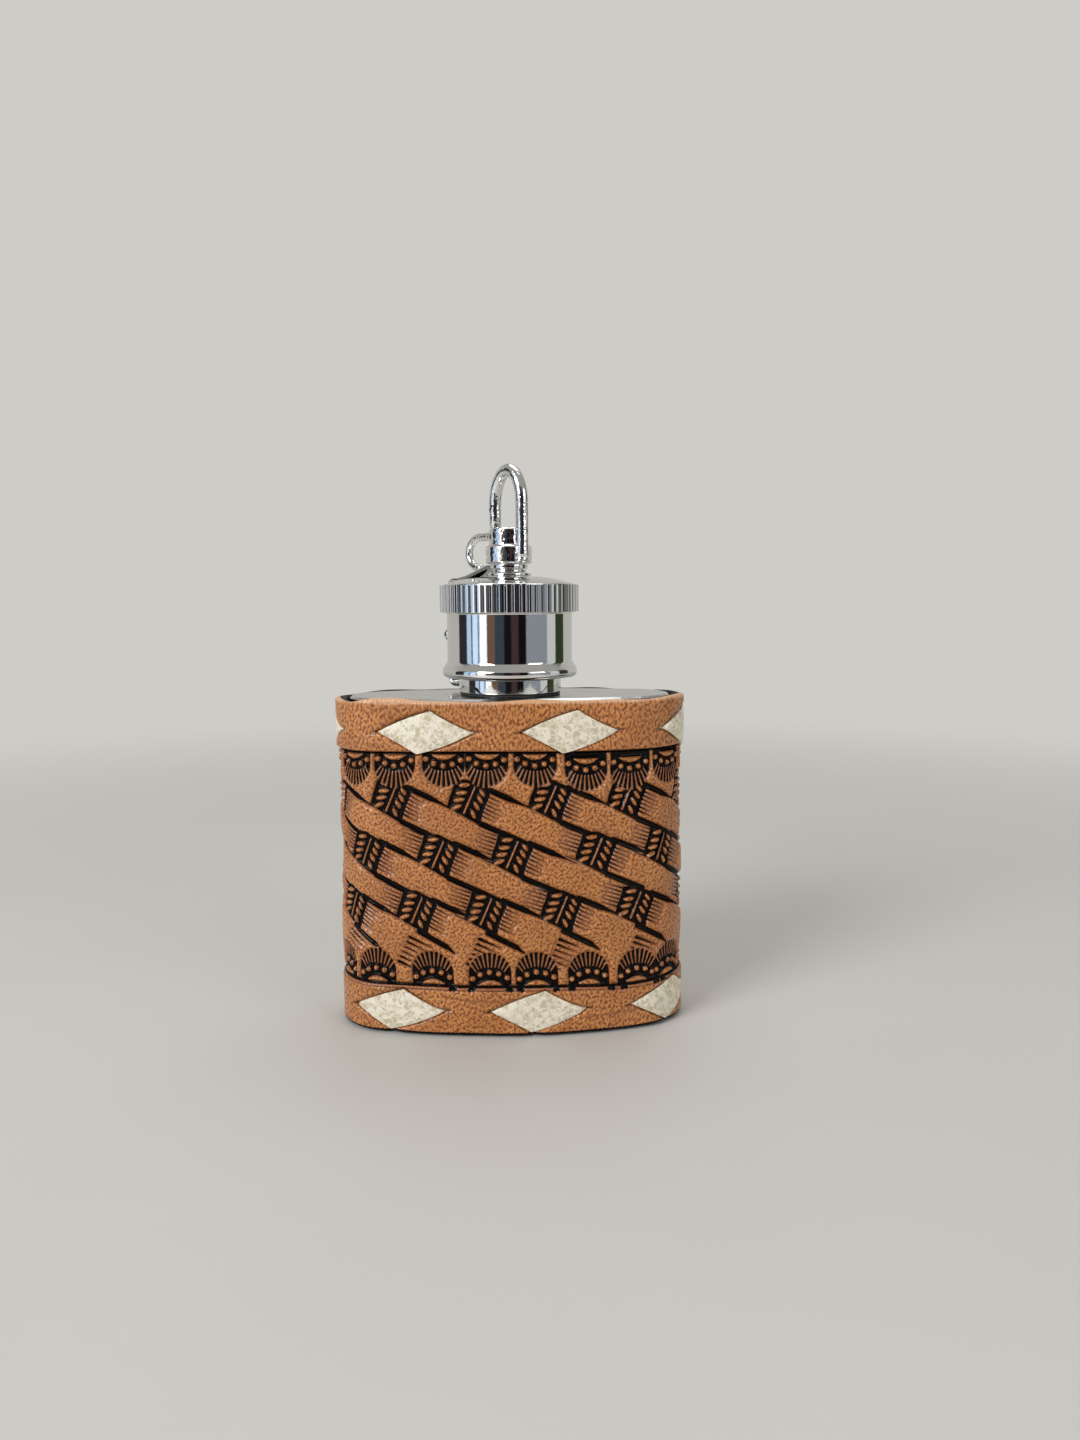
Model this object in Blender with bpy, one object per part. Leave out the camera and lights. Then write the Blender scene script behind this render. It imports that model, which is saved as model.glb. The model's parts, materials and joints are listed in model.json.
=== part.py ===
"""Keychain hip flask: a one-ounce steel flask in a tooled leather cover.

The steel body is a seamless sleeve between two pressed plates, with a screw neck.
A leather strip goes round it, sewn at the back and laced along both borders.
A captive collar and arm hold the screw cap, and a snap hook swivels on the cap.
Metres, Z up, origin in the middle of the flat bottom, front face towards -Y.
"""
import math

import bmesh
import bpy

# Clearances
SEAT_GAP = 0.0003
RUN_GAP = 0.0001
TURN_GAP = 0.00015
CUT_OVERRUN = 0.001

# Leather cover
COVER_WIDTH = 0.0500
COVER_DEPTH = 0.0216
COVER_END_RADIUS = 0.0085
COVER_EDGE_DROP = 0.0001
COVER_FOOT = 0.0003
LEATHER_THICK = 0.0017
LEATHER_EDGE_ROUND = 0.00045
SEAM_WIDTH = 0.0003

# Steel body
STEEL_TOP = 0.0473
SLEEVE_WALL = 0.0005
PLATE_THICK = 0.0006
PLATE_EDGE_ROUND = 0.0003
PLATE_LIP_HEIGHT = 0.0020
PLATE_LIP_WALL = 0.0005

# Neck and its screw thread
NECK_RADIUS = 0.0064
NECK_WALL = 0.0016
NECK_SEAT_WIDTH = 0.0009
NECK_SPIGOT_DEPTH = 0.0012
NECK_HEIGHT = 0.0091
NECK_LEAD_IN = 0.0005
NECK_RELIEF_CLEARANCE = 0.00068
NECK_WASHER_THICK = 0.00022
NECK_WASHER_WIDTH = 0.00065
THREAD_PITCH = 0.0020
THREAD_DEPTH = 0.00045
THREAD_ROOT_WIDTH = 0.0010
THREAD_CREST_WIDTH = 0.0004
THREAD_TURNS = 1.75
THREAD_RIM_CLEARANCE = 0.0011
INSERT_THREAD_TURNS = 1.5

# Captive collar, hinge and arm
COLLAR_WALL = 0.00077
COLLAR_HEIGHT = 0.0020
ARM_ANGLE = math.radians(134)
ARM_WIDTH = 0.0042
ARM_THICK = 0.0006
TAB_RISE = 0.0002
HINGE_RISE = 0.00588
HINGE_PIN_RADIUS = 0.0004
HINGE_PIN_HEAD_LIP = 0.00015
HINGE_PIN_HEAD_THICK = 0.0003
HINGE_KNUCKLE_WALL = 0.00035
HINGE_SHOULDER_WIDTH = 0.0002
HINGE_CENTRE_WIDTH = 0.0018
ARM_SHOULDER_RADIUS = 0.0020
ARM_SHOULDER_LIFT = 0.0005
ARM_SAG_REACH = 0.0017
ARM_SAG_RISE = 0.0003
ARM_EYE_RADIUS = 0.0027
ARM_EYE_DIP = 0.0002
BEND_SIZE = 0.0006

# Cap
CAP_FOOT_CLEARANCE = 0.00018
CAP_FOOT_PROUD = 0.00071
CAP_FOOT_BAND = 0.0012
CAP_FOOT_FLARE = 0.0009
CAP_FOOT_LIP = 0.0002
CAP_WALL = 0.00055
KNURL_RISE = 0.0025
KNURL_HEIGHT = 0.0039
KNURL_PROUD = 0.00096
KNURL_DEPTH = 0.0003
KNURL_RIBS = 60
KNURL_CHAMFER = 0.0003
DOME_PAD_RADIUS = 0.0034
DOME_RISE = 0.0011
DOME_WALL = 0.0008
INSERT_WALL = 0.00154
INSERT_WEB_THICK = 0.0010
INSERT_POCKET_WALL = 0.0012
SEAL_THICK = 0.0010

# Swivel stack on the cap
RIVET_RADIUS = 0.0012
RIVET_HEAD_LIP = 0.0012
RIVET_HEAD_THICK = 0.0008
RIVET_TOP_HEAD_LIP = 0.0004
RIVET_TOP_HEAD_THICK = 0.0005
SWIVEL_WASHER_RADIUS = 0.0032
SWIVEL_WASHER_THICK = 0.0004
SWIVEL_BUSH_RADIUS = 0.0025
SWIVEL_BUSH_THICK = 0.0004

# Snap hook
HOOK_ANGLE = math.radians(-51)
BARREL_WALL = 0.00147
BARREL_HEIGHT = 0.00263
BARREL_FLOOR = 0.0012
BARREL_BORE_CLEARANCE = 0.0002
CLEVIS_WALL = 0.00097
CLEVIS_HEIGHT = 0.0024
HOOK_EDGE_ROUND = 0.0003
SLOT_WIDTH = 0.0017
SLOT_BACK = 0.0018
HOOK_WIRE_RADIUS = 0.0009
HOOK_SPINE_WALL = 0.0003
HOOK_STRAIGHT_RISE = 0.00337
HOOK_ARCH_RISE = 0.0047
SPINE_FOOT_RISE = 0.0004
MOUTH_DROP = 0.0003
MOUTH_GAP = 0.0002
MOUTH_SLOPE = 1.0

# Gate lever, its pin and its spring
GATE_ARM_STEP = 0.00002
GATE_PIVOT_OFFSET = 0.0010
GATE_BOSS_WALL = 0.00048
GATE_BOSS_CLEARANCE = 0.00007
GATE_PIN_RADIUS = 0.00042
GATE_HEEL_LENGTH = 0.0022
GATE_HEEL_DROP = 0.0005
GATE_HEEL_RISE = 0.0003
TAIL_RADIUS = 0.00055
TAIL_ROOT_REACH = 0.0026
TAIL_TIP_REACH = 0.0067
TAIL_CURL_REACH = 0.00265
TAIL_RISE = 0.00025
TAIL_CLEARANCE = 0.00055
SPRING_RADIUS = 0.00065
SPRING_WIRE_RADIUS = 0.00009
SPRING_TURNS = 4
SPRING_REACH = 0.0006

# Border laces
LACE_COUNT = 6
LACE_THICK = 0.0007
LACE_WIDTH = 0.0059
LACE_TIP_WIDTH = 0.0010
LACE_PROUD = 0.0004
LACE_BACK_COVER = 0.0002
LACE_VISIBLE_SHARE = 0.67
LACE_PASS_SHARE = 0.08
LACE_SKEW_SHARE = 0.06
LACE_CUT_GAP = 0.00015
TOP_LACE_DROP = 0.0043
BOTTOM_LACE_RISE = 0.0038
TOP_LACE_START = 0.0081
BOTTOM_LACE_START = 0.0036

# Thread of the back seam
SEAM_THREAD_RADIUS = 0.0003
SEAM_STITCHES = 9
SEAM_STITCH_REACH = 0.0022
SEAM_TILT_SHARE = 0.125
SEAM_FOOT_CLEARANCE = 0.00205
SEAM_TOP_CLEARANCE = 0.00075
SEAM_CUT_GAP = 0.0001

# Counts of facets
OVAL_FRONT_STEPS = 12
OVAL_END_STEPS = 14
ROUND_STEPS = 36
BARREL_STEPS = 32
SMALL_ROUND_STEPS = 20
TINY_ROUND_STEPS = 12
WIRE_STEPS = 10
TAIL_STEPS = 8
ARCH_STEPS = 12
THREAD_STEPS = 28
LACE_STEPS = 7
PASS_STEPS = 2
SEAM_THREAD_STEPS = 6
SPRING_STEPS = 10
SPRING_WIRE_STEPS = 5
EDGE_STEPS = 1
DOME_STEPS = 3
SHOULDER_STEPS = 4

# Values that follow from the sizes above
HALF_WIDTH = COVER_WIDTH / 2
HALF_DEPTH = COVER_DEPTH / 2
END_CENTRE = HALF_WIDTH - COVER_END_RADIUS
FRONT_RADIUS = (END_CENTRE ** 2 + HALF_DEPTH ** 2 - COVER_END_RADIUS ** 2) / (
    2 * (HALF_DEPTH - COVER_END_RADIUS))
FRONT_HALF_ANGLE = math.atan2(END_CENTRE, FRONT_RADIUS - HALF_DEPTH)
END_ANGLE = math.pi - 2 * FRONT_HALF_ANGLE
FRONT_LENGTH = 2 * FRONT_RADIUS * FRONT_HALF_ANGLE
END_LENGTH = COVER_END_RADIUS * END_ANGLE
GIRTH = 2 * (FRONT_LENGTH + END_LENGTH)

COVER_TOP = STEEL_TOP - COVER_EDGE_DROP
STEEL_INSET = LEATHER_THICK + SEAT_GAP
SLEEVE_FOOT = PLATE_THICK + SEAT_GAP
SLEEVE_TOP = STEEL_TOP - PLATE_THICK - SEAT_GAP
LIP_INSET = STEEL_INSET + SLEEVE_WALL + SEAT_GAP
LACE_BURIED_DEPTH = LEATHER_THICK - LACE_THICK - LACE_BACK_COVER

NECK_BASE = STEEL_TOP + RUN_GAP
NECK_RIM = NECK_BASE + NECK_HEIGHT
NECK_BORE_RADIUS = NECK_RADIUS - NECK_WALL
NECK_SPIGOT_RADIUS = NECK_RADIUS - NECK_SEAT_WIDTH
THREAD_ROOT = NECK_RADIUS - THREAD_DEPTH
THREAD_START = NECK_RIM - THREAD_RIM_CLEARANCE - THREAD_TURNS * THREAD_PITCH
COLLAR_BORE = NECK_RADIUS + TURN_GAP
COLLAR_RADIUS = COLLAR_BORE + COLLAR_WALL
COLLAR_FOOT = NECK_BASE + NECK_WASHER_THICK + RUN_GAP
COLLAR_TOP = COLLAR_FOOT + COLLAR_HEIGHT
NECK_RELIEF = COLLAR_TOP + NECK_RELIEF_CLEARANCE

INSERT_BORE = NECK_RADIUS + TURN_GAP
INSERT_RADIUS = INSERT_BORE + INSERT_WALL
CAP_SKIRT_RADIUS = INSERT_RADIUS + SEAT_GAP + CAP_WALL
CAP_FOOT_RADIUS = CAP_SKIRT_RADIUS + CAP_FOOT_PROUD
CAP_FOOT = COLLAR_TOP + CAP_FOOT_CLEARANCE
INSERT_FOOT = CAP_FOOT + SEAT_GAP
SEAL_FOOT = NECK_RIM + RUN_GAP
WEB_FOOT = SEAL_FOOT + SEAL_THICK + RUN_GAP
KNURL_RADIUS = CAP_SKIRT_RADIUS + KNURL_PROUD
KNURL_BOTTOM = NECK_RIM + KNURL_RISE
KNURL_TOP = KNURL_BOTTOM + KNURL_HEIGHT
DOME_PAD_HEIGHT = KNURL_TOP + DOME_RISE
DOME_UNDERSIDE = DOME_PAD_HEIGHT - DOME_WALL

HINGE_KNUCKLE_RADIUS = HINGE_PIN_RADIUS + RUN_GAP + HINGE_KNUCKLE_WALL
HINGE_PIN_HEAD_RADIUS = HINGE_PIN_RADIUS + HINGE_PIN_HEAD_LIP
HINGE_REACH = KNURL_RADIUS + TURN_GAP + HINGE_KNUCKLE_RADIUS
HINGE_HEIGHT = COLLAR_TOP + HINGE_RISE
HINGE_WIDTH = ARM_WIDTH + 2 * HINGE_SHOULDER_WIDTH
ARM_SHOULDER_TOP = KNURL_TOP + ARM_SHOULDER_LIFT + ARM_THICK

RIVET_HOLE = RIVET_RADIUS + TURN_GAP
RIVET_HEAD_RADIUS = RIVET_RADIUS + RIVET_HEAD_LIP
RIVET_TOP_HEAD_RADIUS = RIVET_RADIUS + RIVET_TOP_HEAD_LIP
WASHER_FOOT = DOME_PAD_HEIGHT + RUN_GAP
BUSH_FOOT = WASHER_FOOT + SWIVEL_WASHER_THICK + RUN_GAP
EYE_FOOT = BUSH_FOOT + SWIVEL_BUSH_THICK + RUN_GAP

BARREL_FOOT = EYE_FOOT + ARM_THICK + RUN_GAP
BARREL_TOP = BARREL_FOOT + BARREL_HEIGHT
BARREL_BORE_RADIUS = RIVET_TOP_HEAD_RADIUS + BARREL_BORE_CLEARANCE
BARREL_RADIUS = BARREL_BORE_RADIUS + BARREL_WALL
BORE_FLOOR = BARREL_FOOT + BARREL_FLOOR
RIVET_TOP_HEAD_FOOT = BORE_FLOOR + RUN_GAP
CLEVIS_TOP = BARREL_TOP + CLEVIS_HEIGHT
CLEVIS_RADIUS = BARREL_BORE_RADIUS + CLEVIS_WALL
SLOT_FOOT = BARREL_TOP + RUN_GAP
HOOK_HALF_SPAN = BARREL_BORE_RADIUS + HOOK_SPINE_WALL + HOOK_WIRE_RADIUS
HOOK_STRAIGHT_TOP = CLEVIS_TOP + HOOK_STRAIGHT_RISE
HOOK_MOUTH_HEIGHT = HOOK_STRAIGHT_TOP - MOUTH_DROP

GATE_THICK = SLOT_WIDTH - 2 * TURN_GAP
GATE_ARM_RADIUS = GATE_THICK / 2 - GATE_ARM_STEP
GATE_BOSS_RADIUS = GATE_PIN_RADIUS + RUN_GAP + GATE_BOSS_WALL
GATE_PIVOT_HEIGHT = SLOT_FOOT + GATE_BOSS_CLEARANCE + GATE_BOSS_RADIUS
HEEL_FOOT = GATE_PIVOT_HEIGHT - GATE_HEEL_DROP
TAIL_TOP = GATE_PIVOT_HEIGHT + TAIL_RISE
TAIL_BOTTOM = ARM_SHOULDER_TOP + ARM_SAG_RISE + TAIL_CLEARANCE + TAIL_RADIUS
SPRING_FOOT = RIVET_TOP_HEAD_FOOT + RIVET_TOP_HEAD_THICK + RUN_GAP
SPRING_TOP = HEEL_FOOT - RUN_GAP

STEEL = ((0.80, 0.80, 0.79), 0.16, 1.0)
CHROME = ((0.86, 0.86, 0.85), 0.06, 1.0)
LEATHER = ((0.51, 0.22, 0.09), 0.50, 0.0)
LACE = ((0.62, 0.60, 0.50), 0.60, 0.0)
BLACK_RUBBER = ((0.02, 0.02, 0.02), 0.60, 0.0)
WHITE_PLASTIC = ((0.75, 0.75, 0.72), 0.45, 0.0)
CLEAR_SILICONE = ((0.78, 0.78, 0.74), 0.40, 0.0)
WAXED_THREAD = ((0.55, 0.40, 0.24), 0.70, 0.0)
SPRING_STEEL = ((0.60, 0.60, 0.60), 0.25, 1.0)


def clear_scene():
    """Remove what the scene holds, so that the model starts empty."""
    for thing in list(bpy.data.objects):
        bpy.data.objects.remove(thing, do_unlink=True)


def finish(name, look):
    """Return the Principled material of one piece."""
    colour, roughness, metallic = look
    material = bpy.data.materials.new(name)
    material.use_nodes = True
    shader = material.node_tree.nodes["Principled BSDF"]
    shader.inputs["Base Color"].default_value = (*colour, 1.0)
    shader.inputs["Roughness"].default_value = roughness
    shader.inputs["Metallic"].default_value = metallic
    return material


def axis_empty(name, place, angle=0.0, parent=None):
    """Return an empty on a joint's axis."""
    empty = bpy.data.objects.new(name, None)
    bpy.context.scene.collection.objects.link(empty)
    empty.location = place
    empty.rotation_euler = (0.0, 0.0, angle)
    empty.parent = parent
    return empty


def make_solid(name, rings, closed=False, look=None, parent=None, split=False):
    """Skin rings of points into one closed solid, faces outwards.

    A closed solid joins its last ring to its first, and an open one has flat ends.
    Split turns its twisted quads into triangles.
    """
    mesh = bpy.data.meshes.new(name)
    shape = bmesh.new()
    rows = [[shape.verts.new(point) for point in ring] for ring in rings]
    count = len(rows[0])
    last = len(rows) if closed else len(rows) - 1
    for index in range(last):
        low = rows[index]
        high = rows[(index + 1) % len(rows)]
        for step in range(count):
            after = (step + 1) % count
            shape.faces.new((low[step], low[after], high[after], high[step]))
    if not closed:
        shape.faces.new(rows[0])
        shape.faces.new(rows[-1])
    if split:
        bmesh.ops.triangulate(shape, faces=shape.faces)
    bmesh.ops.recalc_face_normals(shape, faces=shape.faces)
    shape.to_mesh(mesh)
    shape.free()
    mesh.shade_smooth()
    mesh.set_sharp_from_angle(angle=math.radians(35))
    thing = bpy.data.objects.new(name, mesh)
    bpy.context.scene.collection.objects.link(thing)
    thing.parent = parent
    if look:
        mesh.materials.append(finish(name, look))
    return thing


def combine(thing, tool, operation):
    """Join or cut a piece with a guide body, which itself stays hidden."""
    modifier = thing.modifiers.new(tool.name, "BOOLEAN")
    modifier.operation = operation
    modifier.solver = "EXACT"
    modifier.object = tool
    tool.hide_render = True
    tool.display_type = "WIRE"


def cut(thing, *tools):
    """Cut a piece with one or more guide bodies."""
    for tool in tools:
        combine(thing, tool, "DIFFERENCE")


def join(thing, *tools):
    """Join one or more guide bodies to a piece."""
    for tool in tools:
        combine(thing, tool, "UNION")


def circle(radius, height, steps=ROUND_STEPS, centre=(0.0, 0.0)):
    """Return a level ring of points."""
    turns = [2 * math.pi * step / steps for step in range(steps)]
    return [(centre[0] + radius * math.cos(turn), centre[1] + radius * math.sin(turn), height)
            for turn in turns]


def lathe(name, profile, steps=ROUND_STEPS, centre=(0.0, 0.0), closed=False, **more):
    """Turn a profile of (radius, height) points round a vertical axis."""
    rings = [circle(radius, height, steps, centre) for radius, height in profile]
    return make_solid(name, rings, closed=closed, **more)


def tube_profile(bore, radius, foot, top):
    """Return the profile of a plain ring."""
    return [(bore, foot), (radius, foot), (radius, top), (bore, top)]


def box(name, low, high, **more):
    """Return a block between two corners."""
    rings = []
    for height in (low[2], high[2]):
        rings.append([(low[0], low[1], height), (high[0], low[1], height),
                      (high[0], high[1], height), (low[0], high[1], height)])
    return make_solid(name, rings, **more)


def cross_rod(name, centre, radius, half_length, steps=SMALL_ROUND_STEPS, **more):
    """Return a rod along Y, round the point (x, z)."""
    rings = []
    for side in (-half_length, half_length):
        ring = [(x, side, z) for x, z, _ in circle(radius, 0.0, steps, centre)]
        rings.append(ring)
    return make_solid(name, rings, **more)


def wire(name, path, radius, steps=WIRE_STEPS, cut_slope=None, **more):
    """Return a round wire along (x, z) points in the plane y = 0.

    A cut_slope trims the last end on a slant, rising with x.
    """
    rings = []
    for index, (x, z) in enumerate(path):
        before = path[max(index - 1, 0)]
        after = path[min(index + 1, len(path) - 1)]
        run = math.hypot(after[0] - before[0], after[1] - before[1])
        across = ((after[1] - before[1]) / run, (before[0] - after[0]) / run)
        ring = []
        for step in range(steps):
            turn = 2 * math.pi * step / steps
            side = radius * math.cos(turn)
            point = [x + side * across[0], radius * math.sin(turn), z + side * across[1]]
            if cut_slope is not None and index == len(path) - 1:
                point[2] = z + cut_slope * (point[0] - x)
            ring.append(tuple(point))
        rings.append(ring)
    return make_solid(name, rings, **more)


def tube_along(name, path, radius, steps, closed=False, **more):
    """Return a round tube along points in space, with its rings kept upright."""
    rings = []
    count = len(path)
    for index, place in enumerate(path):
        before = path[(index - 1) % count] if closed else path[max(index - 1, 0)]
        after = path[(index + 1) % count] if closed else path[min(index + 1, count - 1)]
        ahead = [after[axis] - before[axis] for axis in range(3)]
        size = math.sqrt(sum(value * value for value in ahead))
        ahead = [value / size for value in ahead]
        level = math.hypot(ahead[0], ahead[1])
        first = (ahead[1] / level, -ahead[0] / level, 0.0)
        second = (-ahead[2] * first[1], ahead[2] * first[0],
                  ahead[0] * first[1] - ahead[1] * first[0])
        ring = []
        for step in range(steps):
            turn = 2 * math.pi * step / steps
            ring.append(tuple(place[axis] + radius * (
                math.cos(turn) * first[axis] + math.sin(turn) * second[axis])
                for axis in range(3)))
        rings.append(ring)
    return make_solid(name, rings, closed=closed, split=True, **more)


def strap(name, path, width, thick, **more):
    """Return a flat strap of even thickness along (x, z) points, its width along Y."""
    rings = []
    for index, (x, z) in enumerate(path):
        before = path[max(index - 1, 0)]
        after = path[min(index + 1, len(path) - 1)]
        run = math.hypot(after[0] - before[0], after[1] - before[1])
        across = ((after[1] - before[1]) / run, (before[0] - after[0]) / run)
        ring = []
        for side, face in ((-1, -1), (1, -1), (1, 1), (-1, 1)):
            ring.append((x + face * thick / 2 * across[0], side * width / 2,
                         z + face * thick / 2 * across[1]))
        rings.append(ring)
    return make_solid(name, rings, **more)


def arc_points(centre, radii, start, end, steps):
    """Return (x, z) points on an ellipse between two angles."""
    points = []
    for step in range(steps + 1):
        turn = start + (end - start) * step / steps
        points.append((centre[0] + radii[0] * math.cos(turn),
                       centre[1] + radii[1] * math.sin(turn)))
    return points


def oval_place(length, inset, height):
    """Return the point at an arc length round the cover, an inset in from its face.

    The length starts at the middle of the front and grows towards +X.
    """
    length = (length + FRONT_LENGTH / 2) % GIRTH
    half = GIRTH / 2
    back = length >= half
    length = length % half
    if length <= FRONT_LENGTH:
        angle = -math.pi / 2 - FRONT_HALF_ANGLE + length / FRONT_RADIUS
        reach = FRONT_RADIUS - inset
        x = reach * math.cos(angle)
        y = reach * math.sin(angle) + FRONT_RADIUS - HALF_DEPTH
    else:
        angle = -math.pi / 2 + FRONT_HALF_ANGLE + (length - FRONT_LENGTH) / COVER_END_RADIUS
        reach = COVER_END_RADIUS - inset
        x = END_CENTRE + reach * math.cos(angle)
        y = reach * math.sin(angle)
    if back:
        x, y = -x, -y
    return x, y, height


def oval_lengths():
    """Return the arc lengths of the oval's corners, close together where it turns fast."""
    lengths = []
    for half in range(2):
        start = -FRONT_LENGTH / 2 + half * GIRTH / 2
        for step in range(OVAL_FRONT_STEPS):
            lengths.append(start + FRONT_LENGTH * step / OVAL_FRONT_STEPS)
        for step in range(OVAL_END_STEPS):
            lengths.append(start + FRONT_LENGTH + END_LENGTH * step / OVAL_END_STEPS)
    return lengths


def oval_ring(inset, height):
    """Return a level ring of the oval outline, an inset in from the cover's face."""
    return [oval_place(length, inset, height) for length in oval_lengths()]


def hole_ring(radius, height):
    """Return a round ring whose points face the corners of the oval outline."""
    ring = []
    for x, y, _ in oval_ring(0.0, height):
        reach = math.hypot(x, y)
        ring.append((radius * x / reach, radius * y / reach, height))
    return ring


def lace_place(share, start, middle, grow):
    """Return the four corners of a lace's section at a share of one repeat.

    In the first part of a repeat the lace lies outside as a skewed diamond.
    In the rest it runs narrow behind the leather, through a slit at each end.
    """
    pitch = GIRTH / LACE_COUNT
    half = LACE_VISIBLE_SHARE / 2
    along = (share + 0.5) % 1.0 - 0.5
    tip = abs(along) - half
    buried = min(max(tip / LACE_PASS_SHARE + 0.5, 0.0), 1.0)
    buried = buried * buried * (3 - 2 * buried)
    outside = -LACE_PROUD + LACE_THICK / 2
    inside = LACE_BURIED_DEPTH + LACE_THICK / 2
    inset = outside + (inside - outside) * buried
    edges = []
    for side in (1, -1):
        peak = side * LACE_SKEW_SHARE
        reach = half - peak if along > peak else half + peak
        rise = max(1 - abs(along - peak) / reach, 0.0)
        edges.append(middle + side * (LACE_TIP_WIDTH / 2 + grow
                                      + (LACE_WIDTH - LACE_TIP_WIDTH) / 2 * rise))
    length = start + share * pitch
    face = LACE_THICK / 2 + grow
    return [oval_place(length, inset - face, edges[1]), oval_place(length, inset + face, edges[1]),
            oval_place(length, inset + face, edges[0]), oval_place(length, inset - face, edges[0])]


def lace_shares():
    """Return the stations of one repeat: the peaks, the tips and steps between."""
    half = LACE_VISIBLE_SHARE / 2
    pass_half = LACE_PASS_SHARE / 2
    marks = []
    for step in range(LACE_STEPS):
        marks.append(-half + pass_half + (2 * half - 2 * pass_half) * step / LACE_STEPS)
    marks += [-LACE_SKEW_SHARE, LACE_SKEW_SHARE]
    for step in range(PASS_STEPS + 1):
        marks.append(half - pass_half + 2 * pass_half * step / PASS_STEPS)
        marks.append(1 - half - pass_half + 2 * pass_half * step / PASS_STEPS)
    marks.append(0.5)
    return sorted({round(mark % 1.0, 5) for mark in marks})


def make_lace(name, start, middle, grow=0.0, **more):
    """Return one border lace, an endless ribbon that dips behind the leather."""
    rings = []
    for repeat in range(LACE_COUNT):
        for share in lace_shares():
            rings.append(lace_place(repeat + share, start, middle, grow))
    return make_solid(name, rings, closed=True, split=True, **more)


def seam_path():
    """Return the route of the seam thread: slanted stitches outside, level ones inside."""
    foot = BOTTOM_LACE_RISE + LACE_WIDTH / 2 + SEAM_FOOT_CLEARANCE
    top = COVER_TOP - TOP_LACE_DROP - LACE_WIDTH / 2 - SEAM_TOP_CLEARANCE
    rise = (top - foot) / SEAM_STITCHES
    tilt = rise * SEAM_TILT_SHARE
    back = GIRTH / 2
    outer = -SEAM_THREAD_RADIUS / 2
    inner = LEATHER_THICK - SEAM_THREAD_RADIUS - SEAM_CUT_GAP
    near = SEAM_STITCH_REACH / 2
    path = []
    for stitch in range(SEAM_STITCHES):
        low = foot + rise * stitch
        high = low + rise
        path.append(oval_place(back - near, inner, low))
        path.append(oval_place(back - near, outer, low))
        path.append(oval_place(back, outer, (low + high) / 2))
        path.append(oval_place(back + near, outer, high - tilt))
        path.append(oval_place(back + near, inner, high - tilt))
    return path


def make_leather():
    """Return the leather strip, with its lace slits, seam and stitch holes."""
    edge = LEATHER_EDGE_ROUND
    profile = []
    corners = ((LEATHER_THICK - edge, COVER_FOOT + edge), (edge, COVER_FOOT + edge),
               (edge, COVER_TOP - edge), (LEATHER_THICK - edge, COVER_TOP - edge))
    for number, corner in enumerate(corners):
        for step in range(EDGE_STEPS + 1):
            turn = -math.pi / 2 * (number + step / EDGE_STEPS)
            profile.append((corner[0] + edge * math.cos(turn), corner[1] + edge * math.sin(turn)))
    rings = [oval_ring(inset, height) for inset, height in profile]
    return make_solid("leather_cover", rings, closed=True, look=LEATHER)


def build_cover():
    """Build the leather cover, its two laces and its back seam."""
    leather = make_leather()
    laces = (("top_lace", TOP_LACE_START, COVER_TOP - TOP_LACE_DROP),
             ("bottom_lace", BOTTOM_LACE_START, BOTTOM_LACE_RISE))
    for name, start, middle in laces:
        make_lace(name, start, middle, look=LACE)
        cut(leather, make_lace(name + "_cutter", start, middle, grow=LACE_CUT_GAP))
    half = SEAM_WIDTH / 2
    seam = box("seam_cutter", (-half, HALF_DEPTH - LEATHER_THICK - CUT_OVERRUN, -CUT_OVERRUN),
               (half, HALF_DEPTH + CUT_OVERRUN, COVER_TOP + CUT_OVERRUN))
    cut(leather, seam)
    path = seam_path()
    tube_along("seam_thread", path, SEAM_THREAD_RADIUS, SEAM_THREAD_STEPS, look=WAXED_THREAD)
    cutter = tube_along("stitch_cutter", path, SEAM_THREAD_RADIUS + SEAM_CUT_GAP,
                        SEAM_THREAD_STEPS)
    cut(leather, cutter)


def build_body():
    """Build the steel sleeve and the plates that close its ends."""
    inner = STEEL_INSET + SLEEVE_WALL
    sleeve = [oval_ring(STEEL_INSET, SLEEVE_FOOT), oval_ring(STEEL_INSET, SLEEVE_TOP),
              oval_ring(inner, SLEEVE_TOP), oval_ring(inner, SLEEVE_FOOT)]
    make_solid("flask_sleeve", sleeve, closed=True, look=STEEL)

    lip_inner = LIP_INSET + PLATE_LIP_WALL
    edge = PLATE_EDGE_ROUND
    under = STEEL_TOP - PLATE_THICK
    lip_foot = under - PLATE_LIP_HEIGHT
    hole = NECK_SPIGOT_RADIUS + RUN_GAP
    top = [hole_ring(hole, STEEL_TOP), oval_ring(STEEL_INSET + edge, STEEL_TOP),
           oval_ring(STEEL_INSET, STEEL_TOP - edge), oval_ring(STEEL_INSET, under),
           oval_ring(LIP_INSET, under), oval_ring(LIP_INSET, lip_foot),
           oval_ring(lip_inner, lip_foot), oval_ring(lip_inner, under),
           hole_ring(hole, under)]
    make_solid("top_plate", top, closed=True, look=STEEL)

    lip_top = PLATE_THICK + PLATE_LIP_HEIGHT
    bottom = [oval_ring(STEEL_INSET + edge, 0.0), oval_ring(STEEL_INSET, edge),
              oval_ring(STEEL_INSET, PLATE_THICK), oval_ring(LIP_INSET, PLATE_THICK),
              oval_ring(LIP_INSET, lip_top), oval_ring(lip_inner, lip_top),
              oval_ring(lip_inner, PLATE_THICK)]
    make_solid("bottom_plate", bottom, look=STEEL)


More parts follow.
